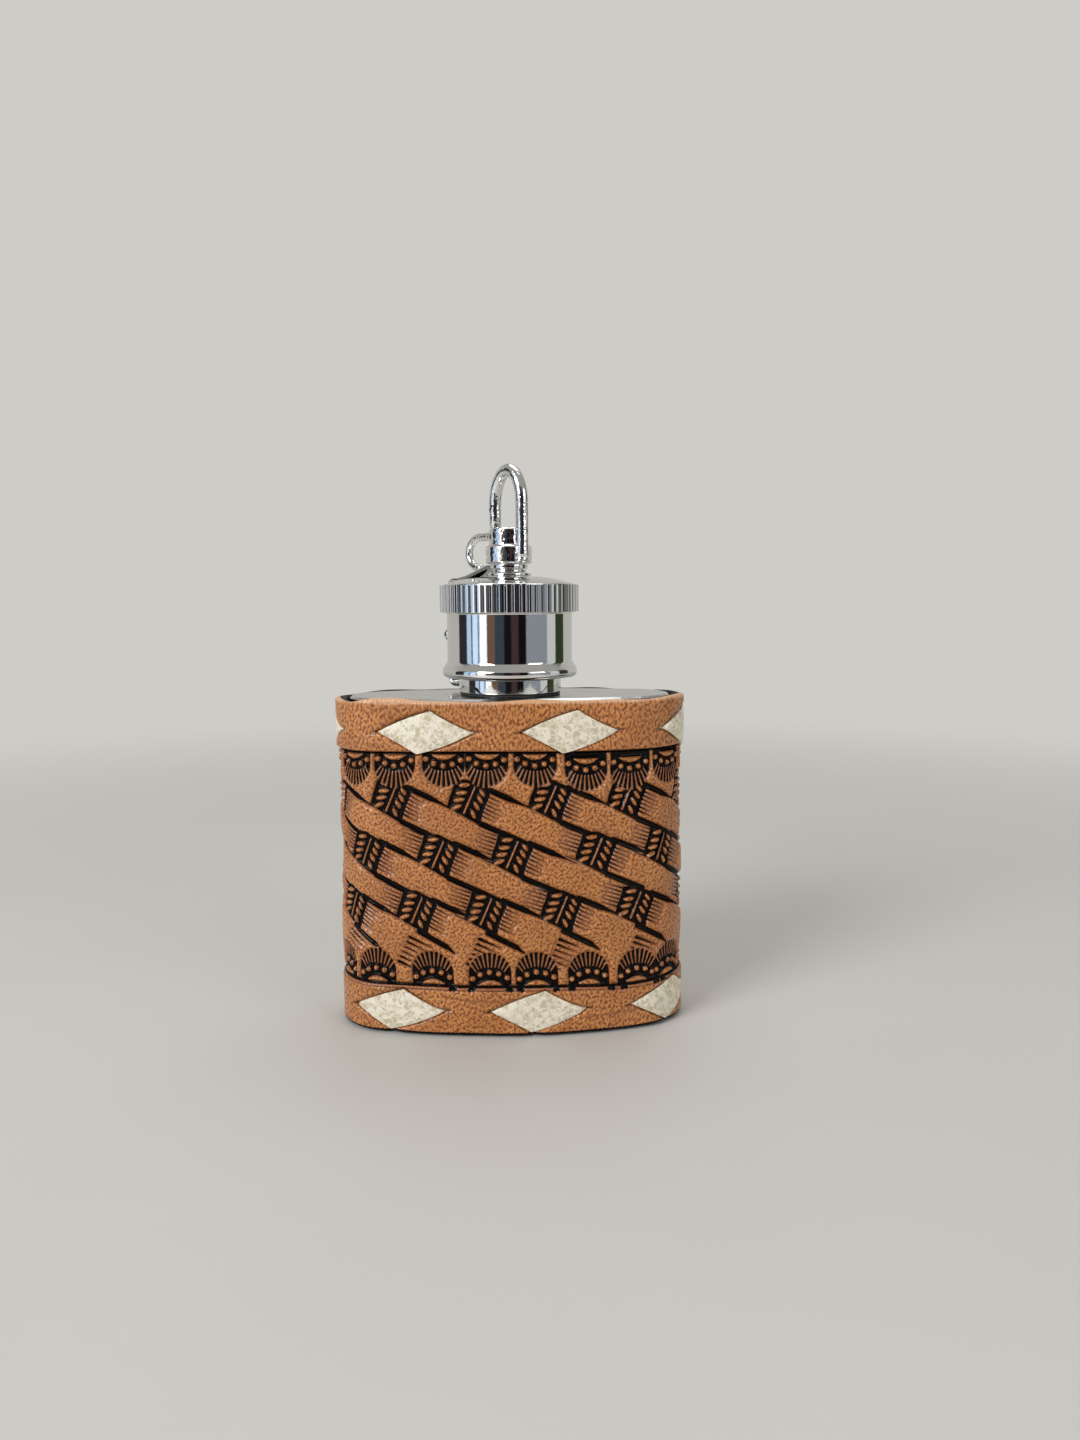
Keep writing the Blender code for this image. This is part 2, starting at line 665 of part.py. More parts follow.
def thread_ridge(name, radius, outward, height, turns, **more):
    """Return a screw ridge whose root is sunk into its wall."""
    crest = THREAD_CREST_WIDTH / 2
    root = THREAD_ROOT_WIDTH / 2
    sunk = root + (root - crest) * TURN_GAP / THREAD_DEPTH
    rings = []
    steps = int(turns * THREAD_STEPS)
    for step in range(steps + 1):
        turn = 2 * math.pi * step / THREAD_STEPS
        rise = height + THREAD_PITCH * step / THREAD_STEPS
        ring = []
        for reach, side in ((-TURN_GAP, -sunk), (THREAD_DEPTH, -crest),
                            (THREAD_DEPTH, crest), (-TURN_GAP, sunk)):
            where = radius + outward * reach
            ring.append((where * math.cos(turn), where * math.sin(turn), rise + side))
        rings.append(ring)
    return make_solid(name, rings, split=True, **more)


def build_neck():
    """Build the screw neck and the black washer round its foot."""
    profile = [(NECK_BORE_RADIUS, NECK_BASE - NECK_SPIGOT_DEPTH),
               (NECK_SPIGOT_RADIUS, NECK_BASE - NECK_SPIGOT_DEPTH),
               (NECK_SPIGOT_RADIUS, NECK_BASE), (NECK_RADIUS, NECK_BASE),
               (NECK_RADIUS, NECK_RELIEF), (THREAD_ROOT, NECK_RELIEF + THREAD_DEPTH),
               (THREAD_ROOT, NECK_RIM - NECK_LEAD_IN),
               (THREAD_ROOT - NECK_LEAD_IN, NECK_RIM), (NECK_BORE_RADIUS, NECK_RIM)]
    neck = lathe("neck", profile, closed=True, look=STEEL)
    join(neck, thread_ridge("neck_thread", THREAD_ROOT, 1, THREAD_START, THREAD_TURNS))
    washer = tube_profile(COLLAR_BORE, COLLAR_BORE + NECK_WASHER_WIDTH, NECK_BASE,
                          NECK_BASE + NECK_WASHER_THICK)
    lathe("neck_washer", washer, closed=True, look=BLACK_RUBBER)


def build_captive():
    """Build the captive collar, its hinge pin and the arm that holds the cap."""
    axis = axis_empty("captive_axis", (0.0, 0.0, 0.0), ARM_ANGLE)
    centre = (HINGE_REACH, HINGE_HEIGHT)
    collar = lathe("captive_collar", tube_profile(COLLAR_BORE, COLLAR_RADIUS, COLLAR_FOOT,
                                                  COLLAR_TOP),
                   closed=True, look=CHROME, parent=axis)
    level = COLLAR_FOOT + TAB_RISE + ARM_THICK / 2
    wall = (COLLAR_BORE + COLLAR_RADIUS) / 2
    tab = strap("collar_tab", [(wall, level), (HINGE_REACH - BEND_SIZE, level),
                               (HINGE_REACH, level + BEND_SIZE), centre],
                ARM_WIDTH, ARM_THICK, parent=axis)
    knuckle = cross_rod("collar_knuckle", centre, HINGE_KNUCKLE_RADIUS, HINGE_WIDTH / 2,
                        parent=axis)
    slot = box("collar_notch",
               (HINGE_REACH - HINGE_KNUCKLE_RADIUS - TURN_GAP, -HINGE_CENTRE_WIDTH / 2 - TURN_GAP,
                HINGE_HEIGHT - HINGE_KNUCKLE_RADIUS - TURN_GAP),
               (HINGE_REACH + HINGE_KNUCKLE_RADIUS + TURN_GAP, HINGE_CENTRE_WIDTH / 2 + TURN_GAP,
                HINGE_HEIGHT + HINGE_KNUCKLE_RADIUS + TURN_GAP), parent=axis)
    bore = cross_rod("hinge_bore", centre, HINGE_PIN_RADIUS + RUN_GAP,
                     HINGE_WIDTH / 2 + CUT_OVERRUN, parent=axis)
    neck_bore = lathe("collar_bore", [(COLLAR_BORE, COLLAR_FOOT - CUT_OVERRUN),
                                      (COLLAR_BORE, COLLAR_TOP + CUT_OVERRUN)], parent=axis)
    join(collar, tab, knuckle)
    cut(collar, slot, bore, neck_bore)

    head_start = HINGE_WIDTH / 2 + RUN_GAP
    head_end = head_start + HINGE_PIN_HEAD_THICK
    rings = []
    for radius, side in ((HINGE_PIN_HEAD_RADIUS, -head_end), (HINGE_PIN_HEAD_RADIUS, -head_start),
                         (HINGE_PIN_RADIUS, -head_start), (HINGE_PIN_RADIUS, head_start),
                         (HINGE_PIN_HEAD_RADIUS, head_start), (HINGE_PIN_HEAD_RADIUS, head_end)):
        ring = [(x, side, z) for x, z, _ in circle(radius, 0.0, TINY_ROUND_STEPS, centre)]
        rings.append(ring)
    make_solid("hinge_pin", rings, look=CHROME, parent=axis)

    eye_level = EYE_FOOT + ARM_THICK / 2
    bend = (HINGE_REACH - ARM_SHOULDER_RADIUS,
            ARM_SHOULDER_TOP - ARM_THICK / 2 - ARM_SHOULDER_RADIUS)
    path = [centre]
    path += arc_points(bend, (ARM_SHOULDER_RADIUS, ARM_SHOULDER_RADIUS), 0.0, math.pi / 2,
                       SHOULDER_STEPS)
    path += [(bend[0] - ARM_SAG_REACH, bend[1] + ARM_SHOULDER_RADIUS + ARM_SAG_RISE),
             (ARM_EYE_RADIUS + BEND_SIZE, eye_level - ARM_EYE_DIP),
             (ARM_EYE_RADIUS, eye_level), (RIVET_HOLE, eye_level)]
    arm = strap("captive_arm", path, ARM_WIDTH, ARM_THICK, look=CHROME, parent=axis)
    eye = lathe("arm_eye", [(ARM_EYE_RADIUS, EYE_FOOT), (ARM_EYE_RADIUS, EYE_FOOT + ARM_THICK)],
                parent=axis)
    barrel = cross_rod("arm_knuckle", centre, HINGE_KNUCKLE_RADIUS, HINGE_CENTRE_WIDTH / 2,
                       parent=axis)
    side = ARM_WIDTH / 2 + CUT_OVERRUN
    clear = HINGE_KNUCKLE_RADIUS + TURN_GAP
    reliefs = []
    for number, sign in enumerate((-1, 1)):
        low, high = sorted((sign * HINGE_CENTRE_WIDTH / 2, sign * side))
        reliefs.append(box("arm_relief_%d" % number,
                           (HINGE_REACH - clear, low, HINGE_HEIGHT - clear),
                           (HINGE_REACH + clear, high, HINGE_HEIGHT + clear), parent=axis))
    arm_bore = cross_rod("arm_bore", centre, HINGE_PIN_RADIUS + RUN_GAP,
                         HINGE_WIDTH / 2 + CUT_OVERRUN, parent=axis)
    rivet_hole = lathe("arm_rivet_hole", [(RIVET_HOLE, EYE_FOOT - CUT_OVERRUN),
                                          (RIVET_HOLE, EYE_FOOT + CUT_OVERRUN)],
                       steps=SMALL_ROUND_STEPS, parent=axis)
    join(arm, eye, barrel)
    cut(arm, *reliefs, arm_bore, rivet_hole)


def knurled_ring(radius, height, depth):
    """Return a ring whose points alternate between rib and groove."""
    ring = []
    for step in range(2 * KNURL_RIBS):
        reach = radius - depth * (step % 2)
        turn = math.pi * step / KNURL_RIBS
        ring.append((reach * math.cos(turn), reach * math.sin(turn), height))
    return ring


def build_cap():
    """Build the cap's shell, its threaded insert and its seal."""
    axis = axis_empty("cap_axis", (0.0, 0.0, 0.0))
    inner = CAP_SKIRT_RADIUS - CAP_WALL
    band_top = CAP_FOOT + CAP_FOOT_BAND
    flare_top = band_top + CAP_FOOT_FLARE
    rim = KNURL_RADIUS - KNURL_CHAMFER
    outline = [(inner, CAP_FOOT, 0.0), (CAP_FOOT_RADIUS - CAP_FOOT_LIP, CAP_FOOT, 0.0),
               (CAP_FOOT_RADIUS, CAP_FOOT + CAP_FOOT_LIP, 0.0),
               (CAP_FOOT_RADIUS, band_top, 0.0), (CAP_SKIRT_RADIUS, flare_top, 0.0),
               (CAP_SKIRT_RADIUS, KNURL_BOTTOM, 0.0), (rim, KNURL_BOTTOM, 0.0),
               (KNURL_RADIUS, KNURL_BOTTOM + KNURL_CHAMFER, KNURL_DEPTH),
               (KNURL_RADIUS, KNURL_TOP - KNURL_CHAMFER, KNURL_DEPTH), (rim, KNURL_TOP, 0.0)]
    for step in range(1, DOME_STEPS + 1):
        share = step / DOME_STEPS
        reach = rim + (DOME_PAD_RADIUS - rim) * share
        outline.append((reach, KNURL_TOP + DOME_RISE * math.sin(share * math.pi / 2), 0.0))
    outline += [(RIVET_HOLE, DOME_PAD_HEIGHT, 0.0), (RIVET_HOLE, DOME_UNDERSIDE, 0.0),
                (DOME_PAD_RADIUS, DOME_UNDERSIDE, 0.0), (inner, KNURL_TOP - DOME_WALL, 0.0)]
    rings = [knurled_ring(radius, height, depth) for radius, height, depth in outline]
    make_solid("cap_shell", rings, closed=True, look=CHROME, parent=axis)

    insert_top = KNURL_TOP - DOME_WALL - SEAT_GAP
    web_top = WEB_FOOT + INSERT_WEB_THICK
    pocket = INSERT_RADIUS - INSERT_POCKET_WALL
    profile = [(INSERT_BORE, INSERT_FOOT), (INSERT_RADIUS, INSERT_FOOT),
               (INSERT_RADIUS, insert_top), (pocket, insert_top), (pocket, web_top)]
    foot = [(INSERT_BORE, WEB_FOOT)]
    rings = [circle(radius, height) for radius, height in profile[::-1] + foot]
    insert = make_solid("cap_insert", rings, look=WHITE_PLASTIC, parent=axis)
    join(insert, thread_ridge("insert_thread", INSERT_BORE, -1, THREAD_START + THREAD_PITCH / 2,
                              INSERT_THREAD_TURNS, parent=axis))

    seal_axis = axis_empty("seal_axis", (0.0, 0.0, 0.0))
    radius = INSERT_BORE - TURN_GAP
    lathe("cap_seal", [(radius, SEAL_FOOT), (radius, SEAL_FOOT + SEAL_THICK)],
          look=CLEAR_SILICONE, parent=seal_axis)


def build_swivel():
    """Build the rivet, washer and bush that carry the arm and the hook."""
    axis = axis_empty("rivet_axis", (0.0, 0.0, 0.0))
    head_top = DOME_UNDERSIDE - RUN_GAP
    upper = RIVET_TOP_HEAD_FOOT
    profile = [(RIVET_HEAD_RADIUS, head_top - RIVET_HEAD_THICK), (RIVET_HEAD_RADIUS, head_top),
               (RIVET_RADIUS, head_top), (RIVET_RADIUS, upper), (RIVET_TOP_HEAD_RADIUS, upper),
               (RIVET_TOP_HEAD_RADIUS, upper + RIVET_TOP_HEAD_THICK)]
    lathe("swivel_rivet", profile, steps=SMALL_ROUND_STEPS, look=STEEL, parent=axis)
    lathe("swivel_washer", tube_profile(RIVET_HOLE, SWIVEL_WASHER_RADIUS, WASHER_FOOT,
                                        WASHER_FOOT + SWIVEL_WASHER_THICK),
          steps=SMALL_ROUND_STEPS, closed=True, look=CHROME, parent=axis)
    lathe("swivel_bush", tube_profile(RIVET_HOLE, SWIVEL_BUSH_RADIUS, BUSH_FOOT,
                                      BUSH_FOOT + SWIVEL_BUSH_THICK),
          steps=SMALL_ROUND_STEPS, closed=True, look=CHROME, parent=axis)


def build_hook():
    """Build the hook's barrel, clevis and bent wire as one casting."""
    axis = axis_empty("hook_axis", (0.0, 0.0, 0.0), HOOK_ANGLE)
    edge = HOOK_EDGE_ROUND
    profile = [(RIVET_HOLE, BARREL_FOOT), (BARREL_RADIUS - edge, BARREL_FOOT),
               (BARREL_RADIUS, BARREL_FOOT + edge), (BARREL_RADIUS, BARREL_TOP - edge),
               (BARREL_RADIUS - edge, BARREL_TOP), (CLEVIS_RADIUS, BARREL_TOP),
               (CLEVIS_RADIUS, CLEVIS_TOP - edge), (CLEVIS_RADIUS - edge, CLEVIS_TOP),
               (BARREL_BORE_RADIUS, CLEVIS_TOP), (BARREL_BORE_RADIUS, BORE_FLOOR),
               (RIVET_HOLE, BORE_FLOOR)]
    hook = lathe("hook_body", profile, steps=BARREL_STEPS, closed=True, look=CHROME, parent=axis)
    spine_foot = BARREL_FOOT + SPINE_FOOT_RISE
    path = [(HOOK_HALF_SPAN, spine_foot), (HOOK_HALF_SPAN, BARREL_TOP)]
    path += arc_points((0.0, HOOK_STRAIGHT_TOP), (HOOK_HALF_SPAN, HOOK_ARCH_RISE), 0.0, math.pi,
                       ARCH_STEPS)
    path.append((-HOOK_HALF_SPAN, HOOK_MOUTH_HEIGHT))
    bow = wire("hook_bow", path, HOOK_WIRE_RADIUS, cut_slope=MOUTH_SLOPE, parent=axis)
    half = SLOT_WIDTH / 2
    slot = box("clevis_slot", (-BARREL_RADIUS - CUT_OVERRUN, -half, SLOT_FOOT),
               (SLOT_BACK, half, CLEVIS_TOP + CUT_OVERRUN), parent=axis)
    pivot = (-GATE_PIVOT_OFFSET, GATE_PIVOT_HEIGHT)
    pin_hole = cross_rod("gate_pin_hole", pivot, GATE_PIN_RADIUS + RUN_GAP,
                         CLEVIS_RADIUS + CUT_OVERRUN, steps=TINY_ROUND_STEPS, parent=axis)
    join(hook, bow)
    cut(hook, slot, pin_hole)
    reach = math.sqrt(CLEVIS_RADIUS ** 2 - GATE_PIVOT_OFFSET ** 2) - RUN_GAP
    cross_rod("gate_pin", pivot, GATE_PIN_RADIUS, reach, steps=TINY_ROUND_STEPS, look=STEEL,
              parent=axis)

    gate_axis = axis_empty("gate_axis", (pivot[0], 0.0, pivot[1]), parent=axis)
    build_gate(gate_axis, pivot)

    path = []
    steps = SPRING_TURNS * SPRING_STEPS
    rise = SPRING_TOP - SPRING_FOOT - 2 * SPRING_WIRE_RADIUS
    for step in range(steps + 1):
        turn = 2 * math.pi * step / SPRING_STEPS
        path.append((SPRING_REACH + SPRING_RADIUS * math.cos(turn),
                     SPRING_RADIUS * math.sin(turn),
                     SPRING_FOOT + SPRING_WIRE_RADIUS + rise * step / steps))
    tube_along("gate_spring", path, SPRING_WIRE_RADIUS, SPRING_WIRE_STEPS, look=SPRING_STEEL,
               parent=axis)


def build_gate(axis, pivot):
    """Build the gate lever: its boss, its arm up to the mouth and its curled thumb tail."""
    def local(points):
        return [(x - pivot[0], z - pivot[1]) for x, z in points]

    boss = cross_rod("gate_lever", (0.0, 0.0), GATE_BOSS_RADIUS, GATE_THICK / 2,
                     look=CHROME, parent=axis)
    nose = HOOK_MOUTH_HEIGHT - MOUTH_GAP * math.hypot(1, MOUTH_SLOPE)
    arm_path = local([(-HOOK_HALF_SPAN, pivot[1]), (-HOOK_HALF_SPAN, nose)])
    arm = wire("gate_arm", arm_path, GATE_ARM_RADIUS, cut_slope=MOUTH_SLOPE, parent=axis)
    web = GATE_THICK / 2 - RUN_GAP
    heel = box("gate_heel", (GATE_PIVOT_OFFSET - HOOK_HALF_SPAN, -web, -GATE_HEEL_DROP),
               (GATE_HEEL_LENGTH, web, GATE_HEEL_RISE), parent=axis)
    curl = (TAIL_TOP - TAIL_BOTTOM) / 2
    middle = (TAIL_TOP + TAIL_BOTTOM) / 2
    path = [(-TAIL_ROOT_REACH, pivot[1])]
    path += arc_points((-TAIL_TIP_REACH, middle), (TAIL_CURL_REACH, curl), math.pi / 2,
                       math.pi * 3 / 2, ARCH_STEPS)
    tail = wire("gate_tail", local(path), TAIL_RADIUS, steps=TAIL_STEPS, parent=axis)
    bore = cross_rod("gate_bore", (0.0, 0.0), GATE_PIN_RADIUS + RUN_GAP,
                     GATE_THICK + CUT_OVERRUN, steps=TINY_ROUND_STEPS, parent=axis)
    join(boss, arm, heel, tail)
    cut(boss, bore)


def main():
    """Build the whole flask."""
    clear_scene()
    build_body()
    build_neck()
    build_cover()
    build_captive()
    build_cap()
    build_swivel()
    build_hook()


main()
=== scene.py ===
"""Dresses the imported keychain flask: tooled and laced leather, bright plated cap and snap hook."""

import json
import math

import bmesh
import bpy
import numpy as np
from bpy.props import FloatProperty, FloatVectorProperty, IntProperty, PointerProperty
from bpy.types import Operator, Panel, PropertyGroup
from mathutils import Matrix, Vector


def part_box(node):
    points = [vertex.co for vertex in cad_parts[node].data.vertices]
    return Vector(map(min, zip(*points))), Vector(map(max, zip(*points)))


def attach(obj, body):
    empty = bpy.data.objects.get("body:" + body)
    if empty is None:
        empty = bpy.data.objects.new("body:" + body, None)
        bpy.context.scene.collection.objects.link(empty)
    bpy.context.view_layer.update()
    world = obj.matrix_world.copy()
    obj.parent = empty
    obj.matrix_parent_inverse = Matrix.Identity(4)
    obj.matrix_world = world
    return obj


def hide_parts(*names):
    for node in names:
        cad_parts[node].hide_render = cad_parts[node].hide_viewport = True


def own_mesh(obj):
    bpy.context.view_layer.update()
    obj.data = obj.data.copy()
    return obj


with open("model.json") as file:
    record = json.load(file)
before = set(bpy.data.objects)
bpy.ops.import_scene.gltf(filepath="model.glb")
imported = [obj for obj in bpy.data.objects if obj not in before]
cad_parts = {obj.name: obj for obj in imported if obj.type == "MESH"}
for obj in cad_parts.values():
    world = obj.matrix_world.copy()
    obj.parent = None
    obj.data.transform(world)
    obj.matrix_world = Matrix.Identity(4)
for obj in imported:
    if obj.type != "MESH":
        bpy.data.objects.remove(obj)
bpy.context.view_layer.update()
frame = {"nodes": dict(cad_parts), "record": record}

bl_info = {
    "name": "Keychain hip flask",
    "version": (1, 0, 0),
    "blender": (4, 5, 0),
    "location": "3D View > Sidebar > Flask",
    "description": "Builds the tooled leather, the lacing and the plated fittings of a small flask",
    "category": "Add Mesh",
}

MM = 0.001
TAU = 2 * math.pi

# Sizes in millimetres. The cover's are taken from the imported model.
COVER_LOW, COVER_HIGH = (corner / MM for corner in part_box("leather_cover"))
HALF_WIDTH = COVER_HIGH.x
HALF_DEPTH = -COVER_LOW.y
COVER_FOOT = COVER_LOW.z
COVER_TOP = COVER_HIGH.z
# Its outline is four arcs: wide ones for the front and the back, narrow ones for the ends.
END_RADIUS = 8.5
END_CENTRE = HALF_WIDTH - END_RADIUS
FRONT_RADIUS = (END_CENTRE ** 2 + HALF_DEPTH ** 2 - END_RADIUS ** 2) / (
    2 * (HALF_DEPTH - END_RADIUS))
FRONT_HALF_ANGLE = math.atan2(END_CENTRE, FRONT_RADIUS - HALF_DEPTH)
FRONT_HALF = FRONT_RADIUS * FRONT_HALF_ANGLE
END_LENGTH = END_RADIUS * (math.pi - 2 * FRONT_HALF_ANGLE)
GIRTH = 4 * FRONT_HALF + 2 * END_LENGTH
LEATHER_THICK = 1.7
# Where along the girth the first of the four panels starts.
PANEL_START = -45.0
# Rounding of the cover's upper and lower outer edge.
TOP_ROUND = 0.5
FOOT_ROUND = 0.45
# Where the fine grid of the tooled field begins and ends, and where the border's grid goes on.
FIELD_LOW = 6.2
FIELD_HIGH = 40.6
BORDER_LOW = 40.7
# The laces: name, node, place of a diamond and height; how many diamonds, and half their length.
LACES = (("top_lace_strip", "top_lace", 8.25, 42.95), ("bottom_lace_strip", "bottom_lace", 3.6, 3.7))
DIAMONDS = 6
DIAMOND_HALF = 6.7
# Half the height of a lace's narrow runs, its crown and its thickness.
LACE_TIP = 0.14
LACE_CROWN = 0.16
LACE_THICK = 0.45
# The captive strap behind the cap, and its hinge as (x, z) before it is turned to its place.
STRAP_THICK = 0.6
STRAP_WIDTH = 4.2
STRAP_OUT = 10.9
HINGE = (STRAP_OUT, 55.6)
ARM_TURN = math.radians(134)
# Radius of the holes round the swivel's rivet.
SWIVEL_BORE = 1.35
# The hook: its wire's distance from the axis, the gate's pivot as (x, z), half the width of the
# clevis' slot, and the height that the spring stands on.
WIRE_OUT = 3.0
GATE_PIVOT = (-1.0, 69.6)
SLOT_HALF = 0.85
SPRING_FOOT = 67.7
HOOK_TURN = math.radians(-51)


class LeatherSettings(PropertyGroup):
    """Sizes and colours of the tooled cover."""
    grid: FloatProperty(
        name="Grid", description="Spacing of the tooled surface's points",
        default=0.00012, min=0.00008, unit="LENGTH")
    stamp_depth: FloatProperty(
        name="Stamp depth", description="How far the stamped background lies below the surface",
        default=0.00041, min=0.0, unit="LENGTH")
    border_rise: FloatProperty(
        name="Border rise", description="How far the plain borders stand above the tooled field",
        default=0.0004, min=0.0, unit="LENGTH")
    tan: FloatVectorProperty(
        name="Tan", description="Colour of the undyed leather", subtype="COLOR", size=4,
        min=0.0, max=1.0, default=(0.585, 0.220, 0.050, 1.0))
    # This black also stands as painted shade in the laces' slits and under the laces.
    dye: FloatVectorProperty(
        name="Dye", description="Colour of the dyed background", subtype="COLOR", size=4,
        min=0.0, max=1.0, default=(0.003, 0.002, 0.002, 1.0))
    lace: FloatVectorProperty(
        name="Lace", description="Colour of the border laces", subtype="COLOR", size=4,
        min=0.0, max=1.0, default=(0.82, 0.76, 0.60, 1.0))
    stitches: IntProperty(
        name="Stitches", description="Slanted stitches of the back seam", default=9, min=1)


class FittingSettings(PropertyGroup):
    """Sizes and colours of the metal fittings."""
    chrome: FloatVectorProperty(
        name="Chrome", description="Colour of the bright plating", subtype="COLOR", size=4,
        min=0.0, max=1.0, default=(0.80, 0.80, 0.79, 1.0))
    steel: FloatVectorProperty(
        name="Steel", description="Colour of the stainless steel", subtype="COLOR", size=4,
        min=0.0, max=1.0, default=(0.62, 0.62, 0.61, 1.0))
    ribs: IntProperty(
        name="Ribs", description="Grip ribs round the cap", default=60, min=8)
    rib_width: FloatProperty(
        name="Rib width", description="Width of one grip rib", default=0.00086, unit="LENGTH")
    spring_turns: IntProperty(
        name="Spring turns", description="Turns of the gate spring", default=3, min=1)


class StageSettings(PropertyGroup):
    """Floor, lamps and background."""
    floor: FloatVectorProperty(
        name="Floor", description="Colour of the floor", subtype="COLOR", size=4,
        min=0.0, max=1.0, default=(0.58, 0.57, 0.545, 1.0))
    key_power: FloatProperty(
        name="Key lamp", description="Power of the main soft lamp", default=3.2, unit="POWER")
    backdrop: FloatVectorProperty(
        name="Backdrop", description="Colour that the background shows", subtype="COLOR", size=4,
        min=0.0, max=1.0, default=(0.62, 0.605, 0.57, 1.0))


def maths(operation):
    """A method that puts a Math node after a value."""
    def method(self, *others):
        return self.calc(operation, *others)
    return method


class Value:
    """A number on a node, so that a formula in Python becomes Math nodes."""

    def __init__(self, book, socket):
        self.book = book
        self.socket = socket

    def calc(self, operation, *others):
        values = dict(enumerate((self, *others)))
        return self.book.node("ShaderNodeMath", {"operation": operation}, values)

    __add__ = maths("ADD")
    __sub__ = maths("SUBTRACT")
    __mul__ = maths("MULTIPLY")
    __pow__ = maths("POWER")
    least = maths("MINIMUM")
    most = maths("MAXIMUM")

    def __rsub__(self, other):
        return self * -1.0 + other

    def ease(self, low, high):
        """A smooth step from 0 at low to 1 at high."""
        return self.book.node("ShaderNodeMapRange", {"interpolation_type": "SMOOTHSTEP"},
                              {"Value": self, "From Min": low, "From Max": high})

    def output(self, name):
        """Another output of the same node."""
        return Value(self.book, self.socket.node.outputs[name])


class NodeBook:
    """Adds nodes to one tree of either kind."""

    def __init__(self, tree):
        self.tree = tree

    def node(self, kind, settings=None, values=None, output=0):
        """Add a node: its settings first, then values or links for its sockets."""
        node = self.tree.nodes.new(kind)
        for key, setting in (settings or {}).items():
            if key == "stops":
                self.fill_ramp(node.color_ramp, setting)
            else:
                setattr(node, key, setting)
        for key, value in (values or {}).items():
            if isinstance(value, Value):
                self.tree.links.new(value.socket, node.inputs[key])
            else:
                node.inputs[key].default_value = value
        return Value(self, node.outputs[output]) if len(node.outputs) else node

    def blend(self, share, low, high):
        """Mix two colours."""
        return self.node("ShaderNodeMix", {"data_type": "RGBA"}, {0: share, 6: low, 7: high}, 2)

    @staticmethod
    def fill_ramp(ramp, stops):
        while len(ramp.elements) < len(stops):
            ramp.elements.new(0.5)
        for element, (position, colour) in zip(ramp.elements, stops):
            element.position = position
            element.color = colour


class Finish(NodeBook):
    """One procedural material. What is the same all over is set on the shader's sockets."""

    def __init__(self, name, colour=(0.8, 0.8, 0.8, 1.0), **constants):
        self.material = bpy.data.materials.new(name)
        self.material.use_nodes = True
        super().__init__(self.material.node_tree)
        self.shader = self.tree.nodes["Principled BSDF"]
        self.shader.inputs["Base Color"].default_value = colour
        for key, value in constants.items():
            self.shader.inputs[key.replace("_", " ")].default_value = value
        self.place = self.node("ShaderNodeTexCoord", output="Object")

    def feed(self, **links):
        """Link values to the shader's sockets and give back the material."""
        for key, value in links.items():
            self.tree.links.new(value.socket, self.shader.inputs[key.replace("_", " ")])
        return self.material

    def attribute(self, name):
        """A number that the mesh carries at its points."""
        return self.node("ShaderNodeAttribute", {"attribute_name": name}, output="Fac")

    def height(self):
        """Height above the foot, in millimetres."""
        return self.node("ShaderNodeSeparateXYZ", None, {0: self.place}, "Z") * (1 / MM)

    def stretched(self, scale):
        return self.node("ShaderNodeMapping", None, {"Vector": self.place, "Scale": scale})

    def noise(self, size, detail=3.0, roughness=0.5, place=None, distortion=0.0):
        """Soft noise whose grains are about size millimetres wide."""
        return self.node("ShaderNodeTexNoise", None, {
            "Vector": place or self.place, "Scale": 1 / (size * MM), "Detail": detail,
            "Roughness": roughness, "Distortion": distortion}, "Fac")

    def cells(self, size, feature):
        """Cells about size millimetres wide."""
        return self.node("ShaderNodeTexVoronoi", {"feature": feature}, {
            "Vector": self.place, "Scale": 1 / (size * MM)}, "Distance")

    def bump(self, height, distance, strength):
        """Raise the surface by height times distance, in millimetres."""
        return self.node("ShaderNodeBump", None, {
            "Height": height, "Distance": distance * MM, "Strength": strength})

    def cover(self, share, layer):
        """Lay another shader over this one, as far as share says."""
        under = Value(self, self.shader.outputs[0])
        both = self.node("ShaderNodeMixShader", None, {0: share, 1: under, 2: layer})
        self.tree.links.new(both.socket, self.tree.nodes["Material Output"].inputs["Surface"])

    def fade(self, colour, near, far):
        """Let what the camera sees fade into a colour with the distance from the middle."""
        away = self.node("ShaderNodeVectorMath", {"operation": "LENGTH"}, {0: self.place}, "Value")
        seen = self.node("ShaderNodeLightPath", output="Is Camera Ray")
        glow = self.node("ShaderNodeEmission", None, {"Color": colour})
        self.cover(away.ease(near, far) * seen, glow)


def shade(colour, red, green=None, blue=None):
    """A colour made lighter or darker, by one factor or by one for each of its parts."""
    factors = (red, green or red, blue or red)
    return (*(min(part * factor, 1.0) for part, factor in zip(colour, factors)), 1.0)


